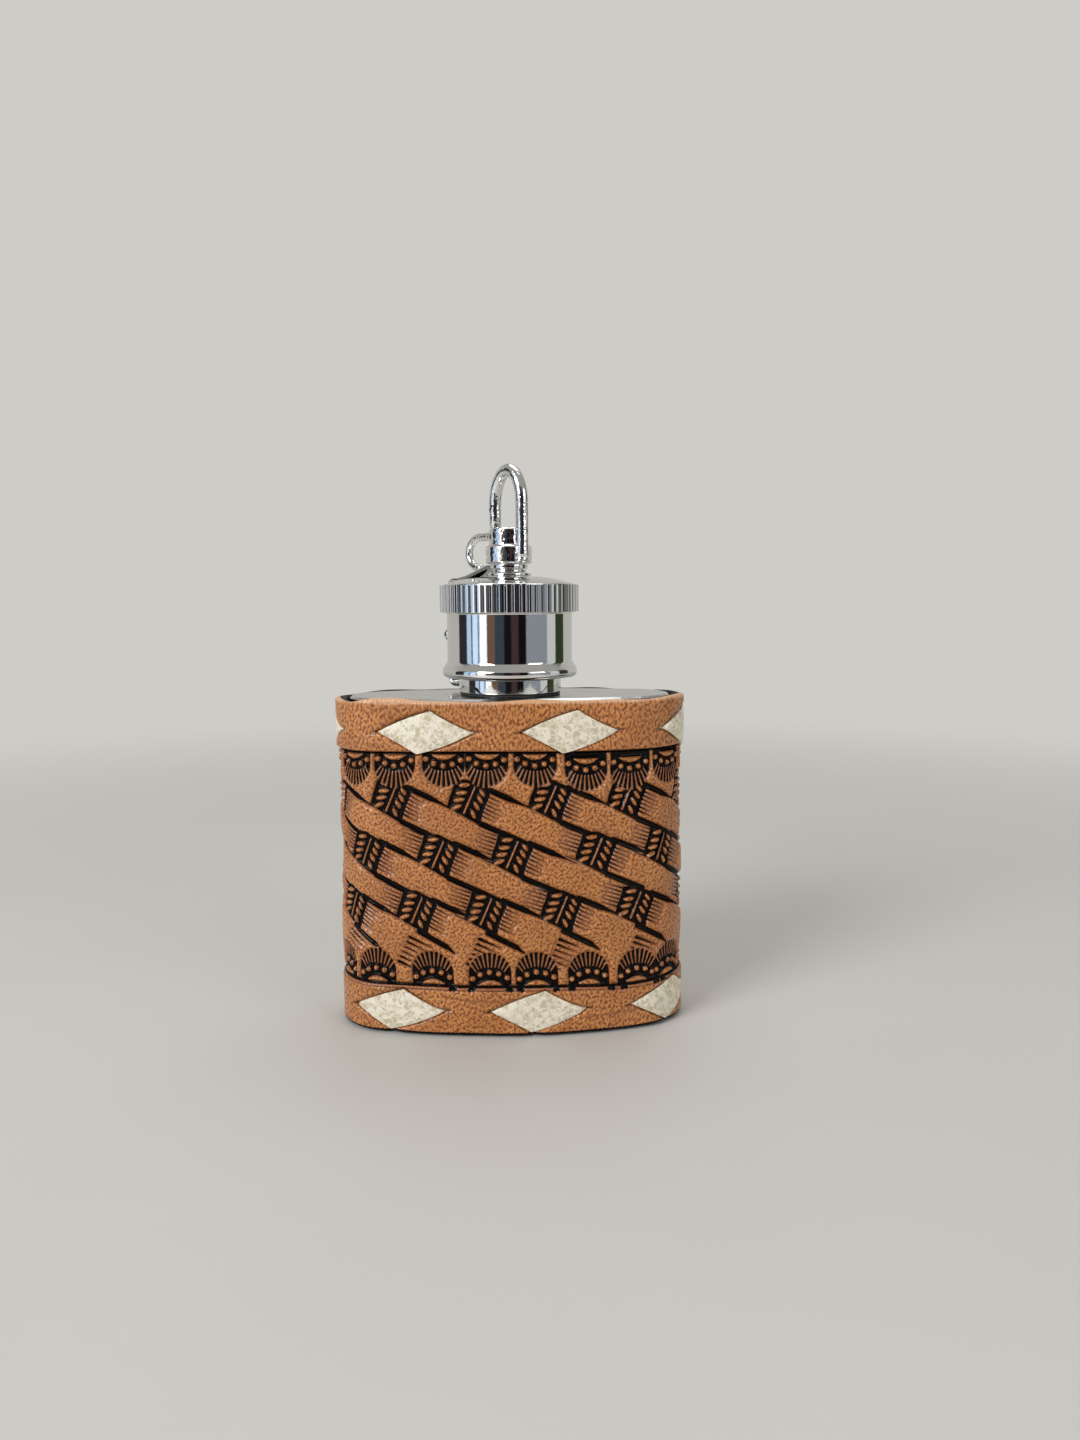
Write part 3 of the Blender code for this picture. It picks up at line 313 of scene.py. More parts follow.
def leather_finish(settings):
    """Pebbled tan leather, with the dyed background of the stamps, painted shade round the laces and
    in their slits and creases, and a lighter top rim that is partly a painted highlight.
    """
    tan = settings.tan
    look = Finish("tooled_leather", Specular_IOR_Level=0.5, Coat_Weight=0.5, Coat_Roughness=0.13)
    mottle = look.noise(7.0, 4.0, 0.55).ease(0.33, 0.68)
    ground = look.blend(mottle, shade(tan, 0.86), shade(tan, 1.08, 1.16, 1.3))
    fine = look.noise(0.20, 1.5, 0.5, look.stretched((1.0, 1.0, 0.6)), 0.5)
    pits = (look.attribute("pebbles") + (fine - 0.5) * 3.0).ease(-1.5, 0.9)
    specks = look.noise(0.50, 3.0, 0.7).ease(0.26, 0.32)
    dye = look.attribute("dye") + (look.noise(0.25, 2.0) - 0.5) * 0.07
    # The last blend darkens the tan next to the dyed ground: colour bleeding from the stamps, and
    # painted shade round the laces, at their slits and along the creases.
    for share, factors in ((pits, (0.36, 0.24, 0.10)), (specks, (0.22, 0.17, 0.15)),
                           (dye.ease(-0.02, 0.22), (0.45, 0.36, 0.32))):
        ground = look.blend(share, shade(tan, *factors), ground)
    height = look.height() + (look.noise(2.5, 3.0) - 0.5) * 0.8
    # Lighter band along the top rim: the raw cut edge and its wear, and partly a painted highlight on
    # the rim.
    cut = height.ease(COVER_TOP - 0.60, COVER_TOP - 0.15)
    ground = look.blend(cut * 0.7, ground, (0.78, 0.46, 0.26, 1.0))
    look.feed(Base_Color=ground, Roughness=look.noise(1.2, 2.0) * 0.20 + 0.28,
              Normal=look.bump(fine, 0.15, 1.0))
    ink = look.node("ShaderNodeBsdfPrincipled", None, {
        "Base Color": tuple(settings.dye), "Roughness": 0.5, "Specular IOR Level": 0.0,
        "Coat Weight": 0.22, "Coat Roughness": 0.08, "Normal": look.bump(fine, 0.04, 0.8)})
    # The black covers the dyed ground, and the laces' slits as painted shade.
    look.cover(1.0 - dye.ease(-0.03, 0.03), ink)
    return look.material


def lace_finish(settings):
    """Ivory lace with a fine grey crackle."""
    look = Finish("ivory_lace", Specular_IOR_Level=0.4)
    crackle = look.noise(0.85, 2.5, 0.6, distortion=0.8).ease(0.42, 0.58)
    veins = look.cells(1.15, "DISTANCE_TO_EDGE").ease(0.0, 0.16)
    light = shade(settings.lace, 1.06, 1.06, 1.12)
    colour = look.blend(crackle, shade(settings.lace, 0.70, 0.67, 0.60), light)
    colour = look.blend(veins * 0.6 + 0.4, light, colour)
    return look.feed(Base_Color=colour, Roughness=look.noise(0.5) * 0.2 + 0.38,
                     Normal=look.bump(crackle + veins * 0.6, 0.035, 0.7))


def thread_finish():
    """Waxed thread with a tight twist."""
    look = Finish("waxed_thread", Roughness=0.6)
    twist = look.node("ShaderNodeTexWave", {"wave_type": "BANDS", "bands_direction": "DIAGONAL"}, {
        "Vector": look.place, "Scale": 700.0, "Distortion": 0.6}, "Fac")
    return look.feed(Base_Color=look.blend(twist, (0.25, 0.16, 0.08, 1.0), (0.60, 0.43, 0.25, 1.0)),
                     Roughness=twist * 0.2 + 0.5, Normal=look.bump(twist, 0.05, 0.8))


def plated_finish(name, colour, roughness, wear=0.05, brushed=None, cast=0.0):
    """Polished metal with faint smears and fine scratches, and ripples where it is die-cast."""
    look = Finish(name, colour, Metallic=1.0, Roughness=roughness)
    smear = look.noise(4.0, 4.0, 0.6)
    place = look.stretched(brushed) if brushed else look.place
    scratch = look.noise(0.5, 4.0, 0.7, place)
    rough = smear.ease(0.42, 0.75) * wear + scratch.ease(0.5, 0.8) * wear * 0.6 + roughness
    tint = look.blend(smear, shade(colour, 0.92), shade(colour, 1.04))
    relief = smear + scratch * 0.15
    if cast:
        relief = relief + look.noise(0.9, 2.5, 0.55) * cast
    return look.feed(Base_Color=tint, Roughness=rough, Normal=look.bump(relief, 0.02, 0.35))


def moulded_finish(name, colour, roughness, grain):
    """Moulded rubber or plastic with a fine skin."""
    look = Finish(name, colour)
    skin = look.noise(grain, 3.0)
    return look.feed(Base_Color=look.blend(skin, shade(colour, 0.85), shade(colour, 1.1)),
                     Roughness=skin * 0.2 + roughness, Normal=look.bump(skin, 0.015, 0.6))


FINISHES = {}


def finish(name):
    """The material of that name, made once."""
    if name not in FINISHES:
        leather = bpy.context.scene.flask_leather
        fittings = bpy.context.scene.flask_fittings
        chrome, steel = tuple(fittings.chrome), tuple(fittings.steel)
        make, *values = {
            "leather": (leather_finish, leather),
            "lace": (lace_finish, leather),
            "thread": (thread_finish,),
            "chrome": (plated_finish, "bright_chrome", chrome, 0.03, 0.03),
            "cast_chrome": (plated_finish, "cast_chrome", chrome, 0.04, 0.04, None, 14.0),
            "steel": (plated_finish, "polished_steel", steel, 0.16, 0.10, (1.0, 6.0, 6.0)),
            "spring_steel": (plated_finish, "spring_wire", (0.55, 0.55, 0.55, 1.0), 0.2),
            "black_rubber": (moulded_finish, "black_rubber", (0.02, 0.02, 0.02, 1.0), 0.5, 0.2),
            "white_plastic": (moulded_finish, "white_plastic", (0.70, 0.70, 0.66, 1.0), 0.35, 0.3),
            "silicone": (moulded_finish, "milky_silicone", (0.72, 0.72, 0.68, 1.0), 0.3, 0.4),
        }[name]
        FINISHES[name] = make(*values)
    return FINISHES[name]


def placed(name, data):
    """A new object in the scene."""
    thing = bpy.data.objects.new(name, data)
    bpy.context.scene.collection.objects.link(thing)
    return thing


def dress(thing, name):
    """Give a mesh one material."""
    thing.data.materials.clear()
    thing.data.materials.append(finish(name))


def new_object(name, points, faces):
    """A mesh object from points in millimetres."""
    mesh = bpy.data.meshes.new(name)
    mesh.from_pydata((np.asarray(points, float) * MM).tolist(), [], faces)
    mesh.validate()
    return placed(name, mesh)


def plain(thing):
    """Apply a thing's modifiers: its mesh becomes the evaluated one."""
    graph = bpy.context.evaluated_depsgraph_get()
    made = bpy.data.meshes.new_from_object(thing.evaluated_get(graph), depsgraph=graph)
    made.name = thing.name
    thing.modifiers.clear()
    old = thing.data
    thing.data = made
    bpy.data.meshes.remove(old)
    return thing


def polish(thing, angle=32):
    """Smooth shading that keeps flats flat and edges crisp."""
    thing.data.shade_smooth()
    thing.data.set_sharp_from_angle(angle=math.radians(angle))
    modifier = thing.modifiers.new("Even normals", "WEIGHTED_NORMAL")
    modifier.keep_sharp = True
    return plain(thing)


def settle(thing, body, slot, *nodes, look=None):
    """Give a finished piece its material, its body and the CAD nodes that it stands for."""
    dress(thing, look or slot)
    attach(thing, body)
    if nodes:
        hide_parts(*nodes)
    return thing


def join(name, *things):
    """Put several meshes into one."""
    with bpy.context.temp_override(active_object=things[0], object=things[0],
                                   selected_objects=list(things),
                                   selected_editable_objects=list(things)):
        bpy.ops.object.join()
    things[0].name = name
    things[0].data.name = name
    return things[0]


def carve(thing, *tools):
    """Cut tools out of a thing and remove them."""
    for tool in tools:
        modifier = thing.modifiers.new("Cut", "BOOLEAN")
        modifier.operation = "DIFFERENCE"
        modifier.solver = "EXACT"
        modifier.object = tool
    plain(thing)
    for tool in tools:
        bpy.data.objects.remove(tool)
    return thing


def skin(rings, closed_path=False):
    """Quads between rings of equal length. An open run gets a flat face at each end."""
    count = len(rings[0])
    rows = len(rings)
    faces = []
    for row in range(rows if closed_path else rows - 1):
        low = row * count
        high = (row + 1) % rows * count
        for step in range(count):
            after = (step + 1) % count
            faces.append((low + step, low + after, high + after, high + step))
    if not closed_path:
        faces.append(tuple(range(count))[::-1])
        faces.append(tuple(range((rows - 1) * count, rows * count)))
    return faces


def outwards(thing):
    """Merge doubles and turn all faces outwards."""
    shape = bmesh.new()
    shape.from_mesh(thing.data)
    bmesh.ops.remove_doubles(shape, verts=shape.verts, dist=1e-7)
    bmesh.ops.recalc_face_normals(shape, faces=shape.faces)
    shape.to_mesh(thing.data)
    shape.free()
    return thing


def rounded(corners, closed=True, step=18):
    """Points along a line through corners (a, b, radius), with each corner rounded."""
    points = []
    count = len(corners)
    for index, corner in enumerate(corners):
        here = np.array(corner[:2], float)
        radius = corner[2] if len(corner) > 2 else 0.05
        if radius == 0 or (not closed and index in (0, count - 1)):
            points.append(here)
            continue
        before = np.array(corners[index - 1][:2], float) - here
        after = np.array(corners[(index + 1) % count][:2], float) - here
        room = min(np.linalg.norm(before), np.linalg.norm(after)) * 0.499
        before /= np.linalg.norm(before)
        after /= np.linalg.norm(after)
        turn = math.pi - math.acos(max(-1.0, min(1.0, float(before @ after))))
        if turn < 0.02:
            points.append(here)
            continue
        reach = min(radius * math.tan(turn / 2), room)
        radius = reach / math.tan(turn / 2)
        middle = before + after
        centre = here + middle / np.linalg.norm(middle) * radius / math.cos(turn / 2)
        start = here + before * reach - centre
        end = here + after * reach - centre
        steps = max(2, round(math.degrees(turn) / step))
        for part in range(steps + 1):
            share = part / steps
            spot = (start * math.sin((1 - share) * turn) + end * math.sin(share * turn)) / (
                math.sin(turn))
            points.append(centre + spot)
    return np.array(points)


def turned(name, profile, steps=96, axle=None):
    """Turn a closed profile of (radius, height) points about the upright axis or an axle along y.

    Points on the axis become poles.
    """
    rings = []
    for radius, height in profile:
        circle = [(radius * math.cos(t), radius * math.sin(t))
                  for t in np.arange(steps) * TAU / steps]
        if axle:
            rings.append([(axle[0] + a, height, axle[1] + b) for a, b in circle])
        else:
            rings.append([(a, b, height) for a, b in circle])
    return outwards(new_object(name, np.array(rings).reshape(-1, 3), skin(rings, True)))


def ring_profile(bore, radius, foot, top, edge, step=18):
    """The section of a ring with rounded edges."""
    return rounded([(bore, foot, edge), (radius, foot, edge), (radius, top, edge),
                    (bore, top, edge)], step=step)


def pin_profile(radius, low, high, edge):
    """The section of a solid pin with rounded rims."""
    return rounded([(0.0, low, 0), (radius, low, edge), (radius, high, edge), (0.0, high, 0)])


def bar(name, path, section, taper=None, mitred=False, domed=(False, False)):
    """Sweep a section along a path of (x, z) points in the plane y = 0.

    Its ends are flat, or domed, or the last one is cut off at 45 degrees.
    """
    path = np.array(path, float)
    section = np.array(section, float)
    ahead = np.gradient(path, axis=0)
    ahead[0] = path[1] - path[0]
    ahead[-1] = path[-1] - path[-2]
    ahead /= np.linalg.norm(ahead, axis=1)[:, None]
    rings = []

    def ring(spot, way, scale, shift=0.0):
        across = np.array((way[1], -way[0]))
        points = []
        for side, out in section:
            flat = spot + way * shift + across * side * scale
            points.append([flat[0], out * scale, flat[1]])
        return points

    reach = abs(section[:, 0]).max()
    dome = [math.radians(angle) for angle in (88, 70, 50, 30, 15)]
    if domed[0]:
        for turn in dome:
            rings.append(ring(path[0], ahead[0], math.cos(turn), -reach * math.sin(turn)))
    for index, spot in enumerate(path):
        points = ring(spot, ahead[index], taper[index] if taper else 1.0)
        if mitred and index == len(path) - 1:
            for point in points:
                point[2] = spot[1] + (point[0] - spot[0])
        rings.append(points)
    if domed[1]:
        for turn in dome[::-1]:
            rings.append(ring(path[-1], ahead[-1], math.cos(turn), reach * math.sin(turn)))
    return outwards(new_object(name, np.array(rings).reshape(-1, 3), skin(rings)))


def round_section(radius, steps=20):
    return [(radius * math.cos(TAU * n / steps), radius * math.sin(TAU * n / steps))
            for n in range(steps)]


def strap_section(thick, width, edge=0.26):
    return ring_profile(-thick / 2, thick / 2, -width / 2, width / 2, edge, 30)


def ellipse(centre, radii, start, end, steps):
    """Points on an ellipse between two angles in degrees."""
    turns = np.radians(np.linspace(start, end, steps + 1))
    return np.column_stack((centre[0] + radii[0] * np.cos(turns),
                            centre[1] + radii[1] * np.sin(turns)))


def block(name, low, high):
    """A cutting block between two corners, in millimetres."""
    points = [(x, y, z) for z in (low[2], high[2])
              for x, y in ((low[0], low[1]), (high[0], low[1]), (high[0], high[1]),
                           (low[0], high[1]))]
    return outwards(new_object(name, points, skin([points[:4], points[4:]])))


def spun(thing, turn):
    """Turn a mesh about the flask's upright axis."""
    thing.data.transform(Matrix.Rotation(turn, 4, "Z"))
    return thing


def outline(along, lift):
    """Points at arc lengths round the cover's face, lifted outwards, in millimetres.

    The arc length is 0 in the middle of the front and grows to the right.
    """
    reach = np.abs(along)
    side = np.where(along < 0, -1.0, 1.0)
    first = np.minimum(reach, FRONT_HALF)
    second = np.clip(reach - FRONT_HALF, 0.0, END_LENGTH)
    third = np.clip(reach - FRONT_HALF - END_LENGTH, 0.0, None)
    angle = first / FRONT_RADIUS + second / END_RADIUS + third / FRONT_RADIUS - math.pi / 2
    front = reach <= FRONT_HALF
    end = reach <= FRONT_HALF + END_LENGTH
    radius = np.where(end & ~front, END_RADIUS, FRONT_RADIUS)
    centre_x = np.where(end & ~front, END_CENTRE, 0.0)
    away = FRONT_RADIUS - HALF_DEPTH
    centre_y = np.where(front, away, np.where(end, 0.0, -away))
    x = centre_x + (radius + lift) * np.cos(angle)
    y = centre_y + (radius + lift) * np.sin(angle)
    return side * x, y


def smooth(value, low, high):
    """A smooth step from 0 at low to 1 at high."""
    share = np.clip((value - low) / (high - low), 0.0, 1.0)
    return share * share * (3 - 2 * share)


def oval(x, y, middle, half_long, half_short, degrees):
    """Distance to a leaf-shaped oval, below 0 inside."""
    turn = math.radians(degrees)
    u = (x - middle[0]) * math.cos(turn) + (y - middle[1]) * math.sin(turn)
    v = (y - middle[1]) * math.cos(turn) - (x - middle[0]) * math.sin(turn)
    near = np.hypot(u / half_long, v / half_short) + 1e-9
    slope = np.hypot(u / half_long ** 2, v / half_short ** 2) + 1e-9
    return near * (near - 1.0) / slope


def stroke(x, y, start, end, start_radius, end_radius):
    """Distance to a line that changes thickness evenly."""
    way = (end[0] - start[0], end[1] - start[1])
    share = ((x - start[0]) * way[0] + (y - start[1]) * way[1]) / (way[0] ** 2 + way[1] ** 2)
    share = np.clip(share, 0.0, 1.0)
    gap = np.hypot(x - start[0] - way[0] * share, y - start[1] - way[1] * share)
    return gap - start_radius - (end_radius - start_radius) * share


def area(x, y, corners):
    """Distance to a many-cornered shape, below 0 inside."""
    nearest = np.full(x.shape, 1e9)
    inside = np.zeros(x.shape, bool)
    for index, (ax, ay) in enumerate(corners):
        bx, by = corners[index - 1]
        nearest = np.minimum(nearest, stroke(x, y, (ax, ay), (bx, by), 0.0, 0.0))
        crosses = (ay > y) != (by > y)
        with np.errstate(divide="ignore", invalid="ignore"):
            edge = (bx - ax) * (y - ay) / (by - ay) + ax
        inside ^= crosses & (x < edge)
    return np.where(inside, -nearest, nearest)


def blurred(field, across, upward):
    """A field over the leather, softened across and upwards by so many steps."""
    field = field.copy()
    for _ in range(upward):
        field[1:-1] = field[1:-1] * 0.5 + (field[:-2] + field[2:]) * 0.25
    for _ in range(across):
        field = field * 0.5 + (np.roll(field, 1, 1) + np.roll(field, -1, 1)) * 0.25
    return field


# The leaf-sprig stamp: its ground and its leaves, in millimetres from its middle.
SPRIG_GROUND = ((-1.95, 2.85), (0.1, 2.75), (2.6, 1.5), (2.78, 0.85), (1.95, -1.0), (1.55, -2.3),
                (1.3, -3.4), (-0.4, -2.4), (-1.9, -1.6), (-3.05, -0.75), (-2.75, 0.4), (-2.3, 1.5))
SPRIG_LEAVES = (((-0.76, 2.10), 0.80, 0.33, 6), ((-1.17, 1.03), 0.82, 0.33, 4),
                ((-1.54, 0.06), 0.82, 0.33, 9), ((-1.88, -0.94), 0.78, 0.32, 20),
                ((1.72, 1.00), 0.60, 0.27, -54), ((1.40, 0.10), 0.66, 0.29, -59),
                ((0.90, -0.80), 0.70, 0.30, -59), ((0.42, -1.92), 0.68, 0.29, -67))
# The rows of sprigs: height, and the places on the front.
SPRIG_ROWS = ((33.65, (-16.75, -5.7, 5.5, 16.45)), (26.0, (-20.85, -10.2, 0.15, 12.0, 21.9)),
              (17.9, (-24.0, -13.4, -3.6, 7.0, 17.8)))
# The slots beside a sprig, as (start, end, radius at the start, radius at the end).
SPRIG_SLOTS = (((2.35, 1.55), (5.6, 0.10), 0.40, 0.38), ((5.6, 0.10), (7.3, -0.68), 0.34, 0.12),
               ((7.3, -0.68), (8.9, -1.42), 0.10, 0.06), ((-2.3, -1.35), (-4.4, -0.40), 0.10, 0.06))
LOW_SLOTS = (((0.2, -2.95), (4.1, -5.05), 0.40, 0.36), ((4.1, -5.05), (5.3, -6.0), 0.30, 0.08))
HIGH_SLOTS = (((1.45, -3.25), (6.6, -5.65), 0.38, 0.42),)
# Cut lines at each end of a strand.
END_LINES = 6
# How many stamps of each kind go round the whole girth.
SPRIGS_ROUND = 11
TOP_SHELLS_ROUND = 18
BOTTOM_SHELLS_ROUND = 17
# Where the lowest strands start, each with a comb of lines of these radii.
COMBS = ((-24.7, 14.1), (-14.6, 14.1), (-4.65, 14.15), (6.6, 13.8), (17.8, 13.3))
COMB_RADII = (0.19, 0.15, 0.11, 0.11, 0.16, 0.22)
# The shell stamps along both borders.
TOP_SHELLS = (-22.8, -16.2, -9.3, -3.3, 3.3, 10.35, 16.85, 23.3)
BOTTOM_SHELLS = (-19.7, -11.3, -3.2, 3.4, 10.8, 18.0, 23.6)
# A shell is half round below its centre; its petals end on a wider arc.
SHELL_CENTRE = -1.65
SHELL_HALF = 2.95
PETAL_REACH = 3.1
SHELL_BEADS = ((-2.46, -0.80), (-1.40, -1.42), (-0.08, -1.76), (1.22, -1.52), (2.38, -0.94))
# Dark blots under the bottom line, and fine creases of the borders.
BLOTS = (-8.5, -5.8, -0.5, 1.0, 6.1, 8.3, 14.0, 15.9, 21.0, 22.3, 31.0, 37.5, 52.0, -33.0, -46.0)
CREASES = (((-9.6, 5.8), (-6.2, 5.35)), ((-6.2, 5.35), (-1.6, 5.1)), ((10.4, 2.5), (14.8, 2.75)),
           ((14.8, 2.75), (19.2, 2.95)), ((-19.2, 41.0), (-18.2, 40.6)))
# How deep the grain, the laces, their slits, the creases and the back seam lie in the leather.
GRAIN_RELIEF = 0.022
LACE_SINK = 0.50
SLIT_SINK = 0.26
CREASE_SINK = 0.07
SEAM_SINK = 0.45


def round_the_girth(front, count, jitter, random):
    """Continue a row of stamps from the front all the way round."""
    places = list(front)
    left = GIRTH - (front[-1] - front[0])
    more = count - len(front) + 1
    for number in range(1, more):
        places.append(front[-1] + left * number / more + random.uniform(-jitter, jitter))
    return [(place + GIRTH / 2) % GIRTH - GIRTH / 2 for place in places]


class Hide:
    """The unrolled leather: distance to the edge of the dyed ground and painted shade, and lift at
    each point, in millimetres.
    """

    REACH = 0.7

    def __init__(self, settings):
        fine = settings.grid / MM
        self.count = 4 * round(GIRTH / 4 / fine)
        self.step = GIRTH / self.count
        self.along = -GIRTH / 2 + self.step * np.arange(self.count)
        self.up = np.concatenate((
            np.linspace(COVER_FOOT + FOOT_ROUND, FIELD_LOW, 37, endpoint=False),
            np.arange(FIELD_LOW, FIELD_HIGH, fine),
            np.linspace(BORDER_LOW, COVER_TOP - TOP_ROUND, 36)))
        self.dye = np.full((len(self.up), self.count), self.REACH)
        self.settings = settings
        self.random = np.random.default_rng(7)

    def near(self, middle, wide, tall):
        """The grid's points within reach of a place, and their distances from it."""
        first = math.ceil((middle[0] - wide - self.along[0]) / self.step)
        last = math.floor((middle[0] + wide - self.along[0]) / self.step)
        columns = np.arange(first, last + 1)
        low, high = np.searchsorted(self.up, (middle[1] - tall, middle[1] + tall))
        rows = np.arange(low, high)
        x = self.along[0] + columns * self.step - middle[0]
        y = self.up[rows] - middle[1]
        return (np.ix_(rows, columns % self.count), *np.meshgrid(x, y))

    def top_line(self, along):
        """Height of the dark line under the top border."""
        return 40.12 + 0.10 * np.sin(along * TAU / GIRTH * 3 + 2.2)

    def bottom_line(self, along):
        """Height of the dark line over the bottom border."""
        dip = 0.5 * np.exp(-((along - 15.6) / 6.0) ** 2)
        return 7.22 + 0.08 * np.cos((along + 9.0) * TAU / GIRTH * 2) - dip

    def darken(self, where, *gaps):
        """Darken what lies inside any of the shapes, as dyed ground or as painted shade."""
        for gap in gaps:
            self.dye[where] = np.minimum(self.dye[where], gap)

    def spare(self, where, *gaps):
        """Keep the dye off what lies inside any of the shapes."""
        for gap in gaps:
            self.dye[where] = np.maximum(self.dye[where], -gap)

    def sprig(self, middle, row):
        """Stamp a leaf sprig, the slots from it and the cut ends of the strands on both sides."""
        where, x, y = self.near(middle, 9.8, 7.1)
        slots = SPRIG_SLOTS + (LOW_SLOTS if row == 2 else HIGH_SLOTS)
        self.darken(where, *(stroke(x, y, *slot) for slot in slots))
        for number in range(END_LINES):
            start = (2.50 - 0.17 * number, 0.50 - 0.53 * number)
            long = self.random.uniform(1.7, 2.3)
            thick = self.random.uniform(0.09, 0.13)
            end = (start[0] + long, start[1] - 0.48 * long)
            self.darken(where, stroke(x, y, start, end, thick, 0.03))
            if row == 0:
                continue
            start = (-2.22 - 0.16 * number, 2.72 - 0.52 * number)
            long = self.random.uniform(1.9, 2.6)
            end = (start[0] - long, start[1] + 0.36 * long)
            self.darken(where, stroke(x, y, start, end, thick * 0.9, 0.03))
        self.darken(where, area(x, y, SPRIG_GROUND) - 0.06)
        self.spare(where, stroke(x, y, (-0.85, -1.75), (0.70, 1.80), 0.17, 0.11),
                   *(oval(x, y, *leaf) for leaf in SPRIG_LEAVES))

    def comb(self, middle):
        """Cut the lines at the upper end of one of the lowest strands."""
        where, x, y = self.near(middle, 6.5, 5.0)
        for number, thick in enumerate(COMB_RADII):
            start = (-0.33 * number, -0.72 * number)
            long = self.random.uniform(2.6, 3.4) - 0.22 * number
            end = (start[0] + long, start[1] - 0.44 * long)
            self.darken(where, stroke(x, y, start, end, thick, 0.04))

    def shell(self, middle, way):
        """Stamp a shell that opens away from its border; way is -1 below the top line."""
        where, x, y = self.near(middle, 4.2, 6.0)
        y = -way * y
        x = x + self.random.uniform(-0.05, 0.05) * y
        body = np.where(y < SHELL_CENTRE, np.hypot(x, y - SHELL_CENTRE), np.abs(x)) - SHELL_HALF
        self.darken(where, np.maximum(body, y - 1.2))
        low = 0.15 + 0.15 * way
        self.spare(where, np.maximum(np.hypot(x, y - 1.38 - low) - 2.33, y + 0.16 - low))
        for across, up in SHELL_BEADS:
            self.spare(where, np.hypot(x - across, y - up) - 0.40)
        for number in range(10):
            turn = math.radians(-64 + 14.2 * number)
            end = (PETAL_REACH * math.sin(turn), SHELL_CENTRE - PETAL_REACH * math.cos(turn))
            size = math.hypot(end[0], end[1] - 1.0)
            long = 1.25 + 1.0 * math.cos(turn) ** 2
            start = (end[0] - end[0] / size * long, end[1] - (end[1] - 1.0) / size * long)
            self.spare(where, stroke(x, y, start, end, 0.085, 0.15))

    def stamp(self):
        """Stamp the whole pattern, in the order in which the stamps were struck."""
        for row, (height, places) in enumerate(SPRIG_ROWS):
            for place in round_the_girth(places, SPRIGS_ROUND, 0.25, self.random):
                self.sprig((place, height + self.random.uniform(-0.08, 0.08)), row)
        heights = dict(COMBS)
        for place in round_the_girth(tuple(heights), SPRIGS_ROUND, 0.3, self.random):
            nearest = min(heights, key=lambda known: abs(known - place))
            self.comb((place, heights[nearest] if abs(nearest - place) < 1 else 13.9))
        for place in round_the_girth(TOP_SHELLS, TOP_SHELLS_ROUND, 0.2, self.random):
            drop = 0.1 + 0.65 * float(smooth(place, 6.0, 10.3) - smooth(place, 18.0, 28.0))
            self.shell((place, float(self.top_line(place)) - drop), -1)
        for place in round_the_girth(BOTTOM_SHELLS, BOTTOM_SHELLS_ROUND, 0.3, self.random):
            self.shell((place, float(self.bottom_line(place)) + 0.27), 1)

        along, up = np.meshgrid(self.along, self.up)
        top = self.top_line(along)
        bottom = self.bottom_line(along)
        self.dye = np.where((up < top) & (up > bottom), self.dye, self.REACH)
        for line, thick in ((top, 0.16), (bottom, 0.17), (bottom - 0.48, 0.04)):
            self.dye = np.minimum(self.dye, np.abs(up - line) - thick)
        for place in BLOTS:
            where, x, y = self.near((place, float(self.bottom_line(place)) - 0.38), 1.6, 1.2)
            lump = self.random.uniform(-0.1, 0.1)
            self.darken(where, oval(x, y, (-0.25, lump), 0.32, 0.28, 0),
                        oval(x, y, (0.25, -lump), 0.32, 0.30, 0))
        self.dye = np.clip(self.dye, -self.REACH, self.REACH)
        return along, up, top, bottom

    def model(self, laces):
        """Work out the lift of every point from the stamps, borders and laces."""
        along, up, top, bottom = self.stamp()
        rise = self.settings.border_rise / MM
        depth = self.settings.stamp_depth / MM
        field = smooth(top - up, -0.25, 0.25) * smooth(up - bottom, -0.25, 0.25)
        cut = 1 - smooth(self.dye, -0.11, 0.09)
        pillow = 0.18 * smooth(self.dye, -0.05, 0.62) + 0.08 * smooth(self.dye, 0.0, 0.26)
        lift = blurred(-rise * field - depth * cut + pillow * field, 2, 2)
        pebbles = self.random.standard_normal(lift.shape)
        pebbles = blurred(pebbles, 1, 1) - blurred(pebbles, 6, 6)
        self.pebbles = np.clip(pebbles / pebbles.std(), -2.2, 2.2)
        lift += GRAIN_RELIEF * self.pebbles * (1 - 0.7 * cut)
        wave = along * TAU / GIRTH
        lift += 0.09 * np.sin(4 * wave + up * 0.16) + 0.05 * np.sin(9 * wave - up * 0.31 + 1.0)
        for start, middle in laces:
            for number in range(DIAMONDS):
                place = start + number * GIRTH / DIAMONDS
                where, x, y = self.near((place, middle), 9.0, 4.6)
                gap = diamond_gap(x, y)
                lift[where] -= LACE_SINK * (1 - smooth(gap, -0.12, 0.42))
                # Painted shadow: the leather is darkened round each lace and dyed black under it.
                self.darken(where, gap * 0.8 + 0.05)
                for side in (-1, 1):
                    slit = stroke(x, y, (side * 6.4, 0.0), (side * 7.6, side * 0.16), 0.12, 0.04)
                    lift[where] -= SLIT_SINK * (1 - smooth(slit, -0.05, 0.35))
                    # Painted shade: the slits at the laces' tips are inked black as well as sunk.
                    self.darken(where, slit)
        for start, end in CREASES:
            where, x, y = self.near(start, 6.0, 1.6)
            gap = stroke(x, y, (0.0, 0.0), (end[0] - start[0], end[1] - start[1]), 0.03, 0.03)
            lift[where] -= CREASE_SINK * (1 - smooth(gap, 0.0, 0.25))
            # Painted shade: the creases are darkened as well as sunk.
            self.darken(where, gap * 0.6 + 0.04)
        seam = np.abs(np.abs(along) - GIRTH / 2)
        lift -= SEAM_SINK * (1 - smooth(seam, 0.02, 0.35))
        foot = up - 0.62 - 0.08 * np.sin(wave * 13)
        self.dye = np.minimum(np.minimum(self.dye, seam - 0.06), foot)
        return lift


